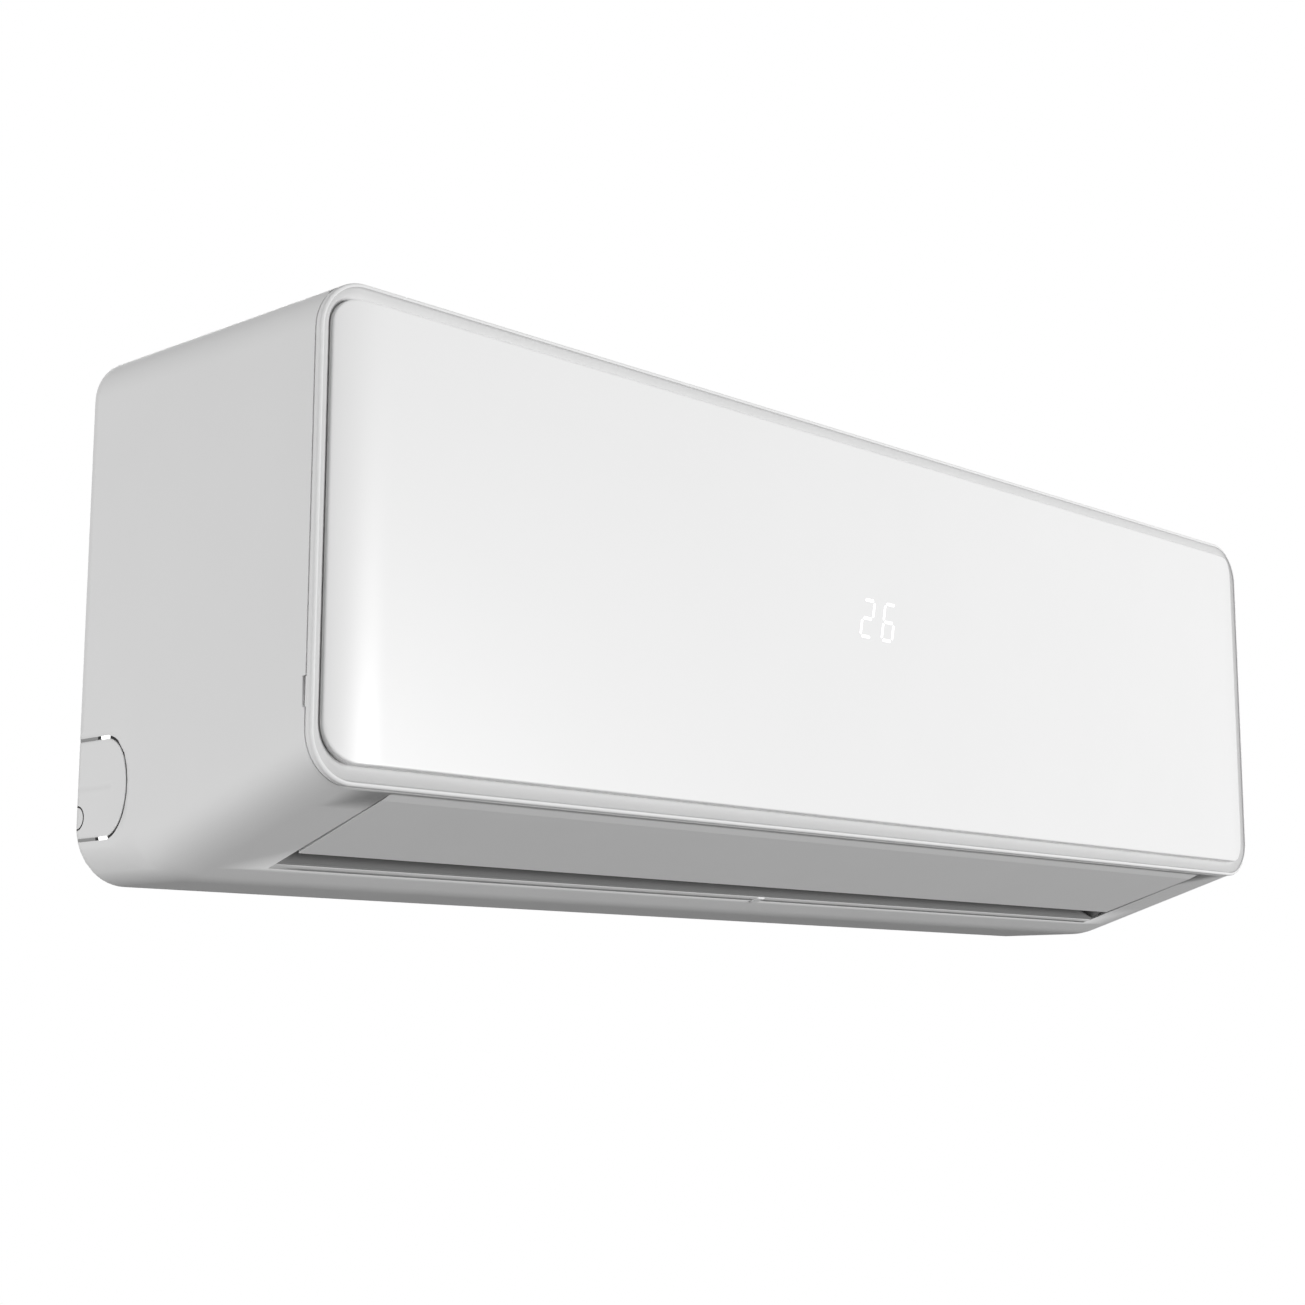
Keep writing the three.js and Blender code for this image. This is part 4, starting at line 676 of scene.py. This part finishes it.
def makeCoverMarks(look):
    # a near-black strip of painted shade lies under the gap round the cover, a half ring of painted shade
    # marks the knock-out's groove, and in the gap's two straight parts a grey slot of painted shade, a dark
    # bridge of painted shade and a glowing slot of painted light follow each other from the wall side forwards
    angle = np.radians(np.linspace(90, 270, look["knockSteps"]))
    reach = casingLook["coverGap"] + look["under"]
    flat = np.stack([coverOutline(casingLook, grow, casingLook["coverPoints"]) for grow in (reach, -reach)])
    depth = sideAt(flat[..., 0], flat[..., 1]) - look["grooveDeep"]
    groove = np.stack((depth, flat[..., 0], flat[..., 1]), axis=-1)
    for side, word in ((-1, "Left"), (1, "Right")):
        turn = np.array((side, 1, 1))
        behind = groove - np.array((look["grooveThick"], 0, 0))
        strip = twoSided("coverGapShade" + word, groove * turn, behind * turn)
        dress(strip, "base", "paintedShadeBlack")
        radius = look["knockRadius"] + np.array((-0.5, 0.5))[:, None] * look["knockWide"]
        y = look["knockPlace"][0] + radius * np.cos(angle)
        z = look["knockPlace"][1] + radius * np.sin(angle)
        face = sideAt(y, z) - look["knockInset"]
        ring = twoSided("knockOut" + word, np.stack((face * side, y, z), axis=-1),
                        np.stack(((face - look["deep"]) * side, y, z), axis=-1))
        dress(ring, "base", "paintedShadeBlack")
        for part, (low, high) in (("Upper", look["slotTop"]), ("Lower", look["slotLow"])):
            middle = (low + high) / 2
            # the grey slot and the dark bridge are painted shade in the gap, and the glowing slot is painted
            # light
            for key, finish, (start, end) in (
                    ("Slot", "ductGreyAndGapShade", look["slotBack"]), ("Light", "digitGlowAndPaintedLight", look["slotFront"]),
                    ("BridgeShade", "paintedShadeBlack", (look["slotBack"][1], look["slotBack"][1] - look["bridge"]))):
                ys, zs = np.meshgrid(np.linspace(start, end, look["slotSteps"]), (low, middle, high))
                outer = sideAt(ys, zs) - look["slotInset"]
                slot = twoSided(f"cover{part}{key}{word}", np.stack((outer * side, ys, zs), axis=-1),
                                np.stack(((outer - look["deep"]) * side, ys, zs), axis=-1), False)
                dress(slot, "base", finish)


ledgeLook = {
    "front": -95.0, "middle": -92.0, "back": -89.15, "ends": 373.0, "stations": 41,
    "proud": 0.06, "thick": 0.6, "lipRound": 0.5,
    "clipX": (-1.5, 4.5), "clipY": (-94.6, -88.2), "clipHigh": 0.9, "clipThick": 1.6, "clipEdge": 0.3,
}


def makeLedge(look):
    # a strip that follows the underside's slope from the outlet's rear edge to its own rolled front edge
    turn = np.radians(np.linspace(180, 90, 5))
    rolled = look["front"] + look["lipRound"] * (1 + np.cos(turn))
    y = np.concatenate((rolled, [look["middle"], look["back"]]))
    lift = look["lipRound"] * (1 - np.sin(turn))
    z = undersideAt(y) - look["proud"] + np.concatenate((lift, [0, 0]))
    x = np.linspace(-look["ends"], look["ends"], look["stations"])
    xs, ys = np.meshgrid(x, y)
    zs = np.meshgrid(x, z)[1]
    lower = np.stack((xs, ys, zs), axis=-1)
    dress(twoSided("outletLedge", lower, lower + np.array((0, 0, look["thick"]))), "base", "casingWhite")
    clipX, clipY = np.meshgrid(np.linspace(*look["clipX"], 4), np.linspace(*look["clipY"], 4))
    clip = np.stack((clipX, clipY, undersideAt(clipY) - look["clipHigh"]), axis=-1)
    piece = twoSided("ledgeClip", clip, clip + np.array((0, 0, look["clipThick"])), False)
    dress(roundEdges(piece, look["clipEdge"]), "base", "casingWhite")


makeLedge(ledgeLook)
casingShell = makeCasing(casingLook)
flatShading = solidify(casingShell, wallThick).modifiers.new("faceNormals", "WEIGHTED_NORMAL")
flatShading.weight = casingLook["normalWeight"]
dress(casingShell, "base", "casingWhite", "casing")
makePipeCovers(casingLook)
makeCoverMarks(coverMarks)
notchFloor = {"x": (427.0, 428.3), "y": (-189.2, -186.6), "z": (-68.2, -52.4), "edge": 0.2}
for side, word in ((-1, "Left"), (1, "Right")):
    blockPiece("notchFloor" + word, "base", "casingWhite", sorted(side * x for x in notchFloor["x"]),
               notchFloor["y"], notchFloor["z"], notchFloor["edge"])
print("casing made")


filterLook = {"pitch": 3.2, "thread": 0.32, "rim": 1.5, "level": 0.55, "weave": 0.8}


def threads(starts, ends, thread, axis):
    # closed square threads as whole arrays: eight corners for each, from its start to its end along one axis
    half = thread / 2
    other = 1 - axis
    square = ((-half, -half), (half, -half), (half, half), (-half, half))
    corners = np.array([(end, u, v) for end in (0, 1) for u, v in square])
    span = starts[:, None] + (ends - starts)[:, None] * corners[None, :, :1]
    points = span.copy()
    points[..., other] += corners[None, :, 1]
    points[..., 2] += corners[None, :, 2]
    cells = np.array(((0, 3, 2, 1), (4, 5, 6, 7), (0, 1, 5, 4), (1, 2, 6, 5), (2, 3, 7, 6), (3, 0, 4, 7)))
    if axis:
        cells = cells[:, ::-1]
    faces = cells[None] + 8 * np.arange(len(starts))[:, None, None]
    return points.reshape(-1, 3), faces.reshape(-1, 4)


def makeFilterMesh(node, look):
    # one set of threads along Y, and one along X that lies a little higher
    low, high = (np.array(corner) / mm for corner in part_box(node))
    level = bend(low[2], high[2], look["level"])
    x = np.arange(low[0] + look["rim"] + look["pitch"], high[0] - look["rim"], look["pitch"])
    y = np.arange(low[1] + look["rim"] + look["pitch"], high[1] - look["rim"], look["pitch"])
    rim = look["rim"]

    def line(first, second, third):
        return np.stack(np.broadcast_arrays(first, second, third), axis=-1).astype(float)

    thread, above = look["thread"], level + look["thread"] * look["weave"]
    across, acrossFaces = threads(line(x, low[1] + rim, level), line(x, high[1] - rim, level), thread, 1)
    along, alongFaces = threads(line(low[0] + rim, y, above), line(high[0] - rim, y, above), thread, 0)
    piece = makeMesh(node.replace("filter", "filterNet"), np.concatenate((across, along)),
                     np.concatenate((acrossFaces, alongFaces + len(across))), False)
    return dress(piece, node, "innerGrey")


for node in ("filter_left", "filter_right"):
    makeFilterMesh(node, filterLook)


screwLook = {
    "radius": 3.4, "high": 1.6, "slot": 0.5, "slotLong": 2.2, "steps": 28,
    "recessFrom": 0.5, "recessProud": 0.03, "recessEdge": 0.08,
    "domeRadii": (0, 0.98, 1, 0.92, 0.72, 0.4, 0), "domeHeights": (0, 0, 0.35, 0.62, 0.84, 0.97, 1),
    "coverInset": (8, 10), "bracketInset": (30, 9), "bracketSize": 0.8,
}


def turned(name, centre, direction, radii, heights, steps):
    # a profile of radii and heights turned about an axis; the axis is one of the unit's own, with its sign
    angle = np.linspace(0, 2 * np.pi, steps, endpoint=False)
    ring = np.stack((np.cos(angle), np.sin(angle)), axis=-1)
    axis = int(np.argmax(np.abs(direction)))
    sides = [(axis + 1) % 3, (axis + 2) % 3]
    points = np.zeros((len(radii), steps, 3))
    points[..., sides] = np.asarray(radii, float)[:, None, None] * ring
    points[..., axis] = np.asarray(heights, float)[:, None] * direction[axis]
    piece = makeMesh(name, points + np.asarray(centre, float), wrappedQuads(len(radii), steps))
    tidyMesh(piece)
    return piece


def makeScrew(name, centre, direction, size=1.0):
    # a domed head whose cross recess is two bars of the near-black finish, painted shade, let into its top
    look = screwLook
    radius, high = look["radius"] * size, look["high"] * size
    radii, heights = radius * np.array(look["domeRadii"]), high * np.array(look["domeHeights"])
    dress(turned(name, centre, direction, radii, heights, look["steps"]), "base", "zincSteel")
    axis = int(np.argmax(np.abs(direction)))
    sides = [(axis + 1) % 3, (axis + 2) % 3]
    for number, (long, wide) in enumerate((sides, sides[::-1])):
        half = np.zeros(3)
        half[long], half[wide] = look["slotLong"] * size, look["slot"] * size / 2
        low, top = np.array(centre, float) - half, np.array(centre, float) + half
        low[axis], top[axis] = sorted(
            centre[axis] + direction[axis] * depth
            for depth in (high * look["recessFrom"], high + look["recessProud"]))
        blockPiece(f"{name}Recess{number + 1}", "base", "paintedShadeBlack", *zip(low, top), look["recessEdge"])


boxLow, boxHigh = (np.array(corner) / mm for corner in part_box("control_box_cover"))
inX, inZ = screwLook["coverInset"]
for number, (x, z) in enumerate(((boxLow[0] + inX, boxHigh[2] - inZ), (boxHigh[0] - inX, boxLow[2] + inZ))):
    makeScrew(f"coverScrew{number + 1}", (x, boxLow[1], z), (0, -1, 0))
motorLow, motorHigh = (np.array(corner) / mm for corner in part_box("motor_bracket"))
inX, inY = screwLook["bracketInset"]
for number, y in enumerate((motorLow[1] + inY, motorHigh[1] - inY)):
    centre = (motorLow[0] + inX, y, motorLow[2])
    makeScrew(f"bracketScrew{number + 1}", centre, (0, 0, -1), screwLook["bracketSize"])


earLook = {"gap": 0.4, "wide": 3.0, "y": (-192.2, -186.4), "z": (136.6, 141.0), "round": 1.0}
pinLow, pinHigh = (np.array(corner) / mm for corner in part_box("hinge_pin_right"))
for side, word in ((-1, "Left"), (1, "Right")):
    starts = {"Inner": pinLow[0] - earLook["gap"] - earLook["wide"], "Outer": pinHigh[0] + earLook["gap"]}
    for end, start in starts.items():
        x = sorted((side * start, side * (start + earLook["wide"])))
        blockPiece(f"hingeEar{end}{word}", "base", "casingWhite", x, earLook["y"], earLook["z"],
                   earLook["round"])
print("filters, screws and ears made")


doorLook = {
    "topRadius": 27, "bottomRadius": 25.5, "lipWidth": 2.1, "lipRound": 1.6, "cove": 2.6, "coveSteps": 8,
    "sideInset": 7, "endInset": 10, "panelTopRadius": 14, "panelBottomRadius": 19.5, "innerInset": 26,
    "displayX": (-39.5, 20.5), "displayZ": (8.5, 46.5), "arcSteps": 18, "merge": 0.05,
    "backEdge": 0.25, "lipInner": 0.5, "leftX": (-300, -150), "rightX": (150, 300), "outerZ": (-40, 90),
    "troughFrom": (0.2, 0.3, 0.1), "fall": 5.5, "fallRun": 32, "edgeRound": 0.9, "panelGap": 0.3,
    "rimSteps": (0, 0.12, 0.35, 0.7, 1.1, 1.6, 3, 8, 20), "deepest": 1.2, "runOver": 4,
    "stations": {"arc": 15, "run": 7, "middle": 15, "height": 9},
}


def makeDoorFrame(look):
    # rings from the back's inner edge over the outside, the lip and the cove to the floor's inner edge,
    # with a flat plate at the back and one at the floor, both open at the display
    back, lip = doorHigh[1], doorLow[1]
    floor = lip + look["cove"]
    rounding, width = look["lipRound"], look["lipWidth"]
    turn = np.radians(np.linspace(0, 90, 6))
    outerEdge = np.stack((rounding * (1 - np.cos(turn)), lip + rounding * (1 - np.sin(turn))), axis=-1)
    inner, edge = look["lipInner"], look["backEdge"]
    innerEdge = np.stack((width - inner * (1 - np.sin(turn)), lip + inner * (1 - np.cos(turn))), axis=-1)
    curve = np.linspace(0, 1, look["coveSteps"] + 1)[1:]
    coveY = bend(lip + inner, floor, np.sin(curve * np.pi / 2))
    inset = np.concatenate(([look["innerInset"], edge, 0], outerEdge[:, 0], innerEdge[:, 0],
                            np.full(len(curve), width), [0]))
    y = np.concatenate(([back, back, back - edge], outerEdge[:, 1], innerEdge[:, 1], coveY, [floor]))
    share = np.concatenate((np.zeros(3 + 2 * len(turn)), curve, [1]))
    side = halfLength - inset
    low, high = doorLow[2] + inset, doorHigh[2] - inset
    topRadius, bottomRadius = look["topRadius"] - inset, look["bottomRadius"] - inset
    topRadius, bottomRadius = np.maximum(topRadius, 1.0), np.maximum(bottomRadius, 1.0)
    panelSide = halfLength - look["sideInset"] + look["panelGap"]
    panelBottom = doorLow[2] + look["endInset"] - look["panelGap"]
    panelTop = doorHigh[2] - look["endInset"] + look["panelGap"]
    side, low, high = bend(side, panelSide, share), bend(low, panelBottom, share), bend(high, panelTop, share)
    topRadius = bend(topRadius, look["panelTopRadius"] + look["panelGap"], share)
    bottomRadius = bend(bottomRadius, look["panelBottomRadius"] + look["panelGap"], share)
    side[-1] = halfLength - look["innerInset"]
    low[-1], high[-1] = doorLow[2] + look["innerInset"], doorHigh[2] - look["innerInset"]
    topRadius[-1] = bottomRadius[-1] = 1.0
    runX = np.array((*look["leftX"], *look["displayX"], *look["rightX"]), float)
    runZ = np.array((look["outerZ"][0], *look["displayZ"], look["outerZ"][1]), float)
    loops = roundedLoops(y, side, low, high, topRadius, bottomRadius, look["arcSteps"], runX, runZ)
    rows, columns = loops.shape[:2]
    faces = [wrappedQuads(rows, columns)]
    points = [loops.reshape(-1, 3)]
    gridX = np.concatenate(([-side[-1]], runX, [side[-1]]))
    gridZ = np.concatenate(([low[-1]], runZ, [high[-1]]))
    xs, zs = np.meshgrid(gridX, gridZ)
    used = rows * columns
    cells = quads(len(gridZ), len(gridX)).reshape(len(gridZ) - 1, len(gridX) - 1, 4)
    kept = np.ones(cells.shape[:2], bool)
    kept[2, 3] = False  # the display's own cell
    for place in (back, floor):
        points.append(np.stack((xs, np.full_like(xs, place), zs), axis=-1).reshape(-1, 3))
        faces.append(cells[kept] + used)
        used += xs.size
    piece = makeMesh("doorFrameRing", np.concatenate(points), np.concatenate(faces))
    tidyMesh(piece, look["merge"])
    # the trough between lip and panel takes a greyer finish, painted shade: its faces lie inside the lip and
    # behind its front
    polygons = piece.data.polygons
    centre = np.empty(len(polygons) * 3, np.float32)
    polygons.foreach_get("center", centre)
    x, y, z = centre.reshape(-1, 3).T / mm
    deep = insideDistance(x, z, halfLength, doorLow[2], doorHigh[2], look["topRadius"], look["bottomRadius"])
    aside, below, above = look["troughFrom"]
    troughShadeFaces = (deep > width - aside) & (y > lip + below) & (y < floor + above)
    polygons.foreach_set("material_index", troughShadeFaces.astype(np.int32))
    return piece


def insideDistance(x, z, side, low, high, topRadius, bottomRadius):
    # distance from a point inside a rounded rectangle to its edge
    middle = (low + high) / 2
    radius = np.where(z > middle, topRadius, bottomRadius)
    overX = np.abs(x) - (side - radius)
    overZ = np.where(z > middle, z - (high - radius), (low + radius) - z)
    corner = np.hypot(np.maximum(overX, 0), np.maximum(overZ, 0))
    return radius - np.minimum(np.maximum(overX, overZ), 0) - corner


def makeFrontPanel(look):
    # columns of points across the panel; the face falls back as a parabola at both ends and as a quarter
    # circle at the rim
    side, low, high = panelHigh[0], panelLow[2], panelHigh[2]
    count = look["stations"]
    corner = max(look["panelTopRadius"], look["panelBottomRadius"])
    arc = side - corner * (1 - np.cos(np.radians(np.linspace(0, 90, count["arc"]))))
    run = np.linspace(side - corner, side - look["fallRun"] - look["runOver"], count["run"])[1:]
    ends = np.concatenate((arc, run))
    x = np.concatenate((-ends, np.linspace(-run[-1], run[-1], count["middle"])[1:-1], ends[::-1]))

    def reach(radius):  # how far the outline is drawn in at each column
        over = np.clip(np.abs(x) - (side - radius), 0, radius)
        return radius - np.sqrt(radius ** 2 - over ** 2)

    lowEdge, highEdge = low + reach(look["panelBottomRadius"]), high - reach(look["panelTopRadius"])
    steps = np.array(look["rimSteps"]) / (high - low)
    between = np.linspace(steps[-1], 1 - steps[-1], count["height"])[1:-1]
    share = np.concatenate((steps, between, 1 - steps[::-1]))
    xs, shares = np.meshgrid(x, share)
    zs = bend(lowEdge, highEdge, shares)
    depthIn = insideDistance(xs, zs, side, low, high, look["panelTopRadius"], look["panelBottomRadius"])
    rounding = look["edgeRound"]
    inside = np.clip(depthIn, 0, rounding)
    rim = rounding - np.sqrt(rounding ** 2 - (rounding - inside) ** 2)
    fall = look["fall"] * np.clip((np.abs(xs) - (side - look["fallRun"])) / look["fallRun"], 0, 1) ** 2
    front = np.stack((xs, panelLow[1] + np.minimum(fall + rim, look["fall"] + look["deepest"]), zs), axis=-1)
    back = np.stack((xs, np.full_like(xs, panelHigh[1]), zs), axis=-1)
    return twoSided("panelSkin", front, back)


doorFrame = dress(makeDoorFrame(doorLook), "door", "casingWhite", "panel_frame")
# the trough's second finish is painted shade
doorFrame.data.materials.append(finishes["troughPaintedShade"])
dress(makeFrontPanel(doorLook), "door", "panelWhite", "front_panel")
print("door made")


digitLook = {
    "bottomZ": 15.95, "height": 24.1, "width": 11.6, "stroke": 1.6, "gap": 1.05, "lean": 4.8,
    "starts": {"2": -28.9, "6": -8.6}, "strokes": {"2": "abged", "6": "afgedc"},
    "proud": 0.05, "sunk": 0.3, "tip": 0.35,
}


def makeDigits(look):
    # each stroke is a slab with pointed ends, sheared so that the top leans to the right
    tall, wide, thick = look["height"], look["width"], look["stroke"]
    lines = {
        "a": ((0, tall - thick / 2), (wide, tall - thick / 2)), "g": ((0, tall / 2), (wide, tall / 2)),
        "d": ((0, thick / 2), (wide, thick / 2)),
        "f": ((thick / 2, tall / 2), (thick / 2, tall - thick / 2)),
        "b": ((wide - thick / 2, tall / 2), (wide - thick / 2, tall - thick / 2)),
        "e": ((thick / 2, thick / 2), (thick / 2, tall / 2)),
        "c": ((wide - thick / 2, thick / 2), (wide - thick / 2, tall / 2)),
    }
    face = panelLow[1]
    for digit, startX in look["starts"].items():
        for key in look["strokes"][digit]:
            (u0, v0), (u1, v1) = lines[key]
            if v0 == v1:
                u0, u1 = thick / 2, wide - thick / 2
            along = np.array((u1 - u0, v1 - v0)) / math.hypot(u1 - u0, v1 - v0)
            across = np.array((-along[1], along[0])) * thick / 2
            start, end = np.array((u0, v0)) + along * look["gap"], np.array((u1, v1)) - along * look["gap"]
            tip = along * thick * look["tip"]
            flat = np.array(((start, start), (start + tip - across, start + tip + across),
                             (end - tip - across, end - tip + across), (end, end)))
            x = startX + flat[..., 0] + flat[..., 1] / tall * look["lean"]
            z = look["bottomZ"] + flat[..., 1]
            front = np.stack((x, np.full_like(x, face - look["proud"]), z), axis=-1)
            back = np.stack((x, np.full_like(x, face + look["sunk"]), z), axis=-1)
            dress(twoSided(f"digit{digit}Stroke{key.upper()}", front, back, False), "door", "digitGlowAndPaintedLight")


makeDigits(digitLook)
print("digits made")
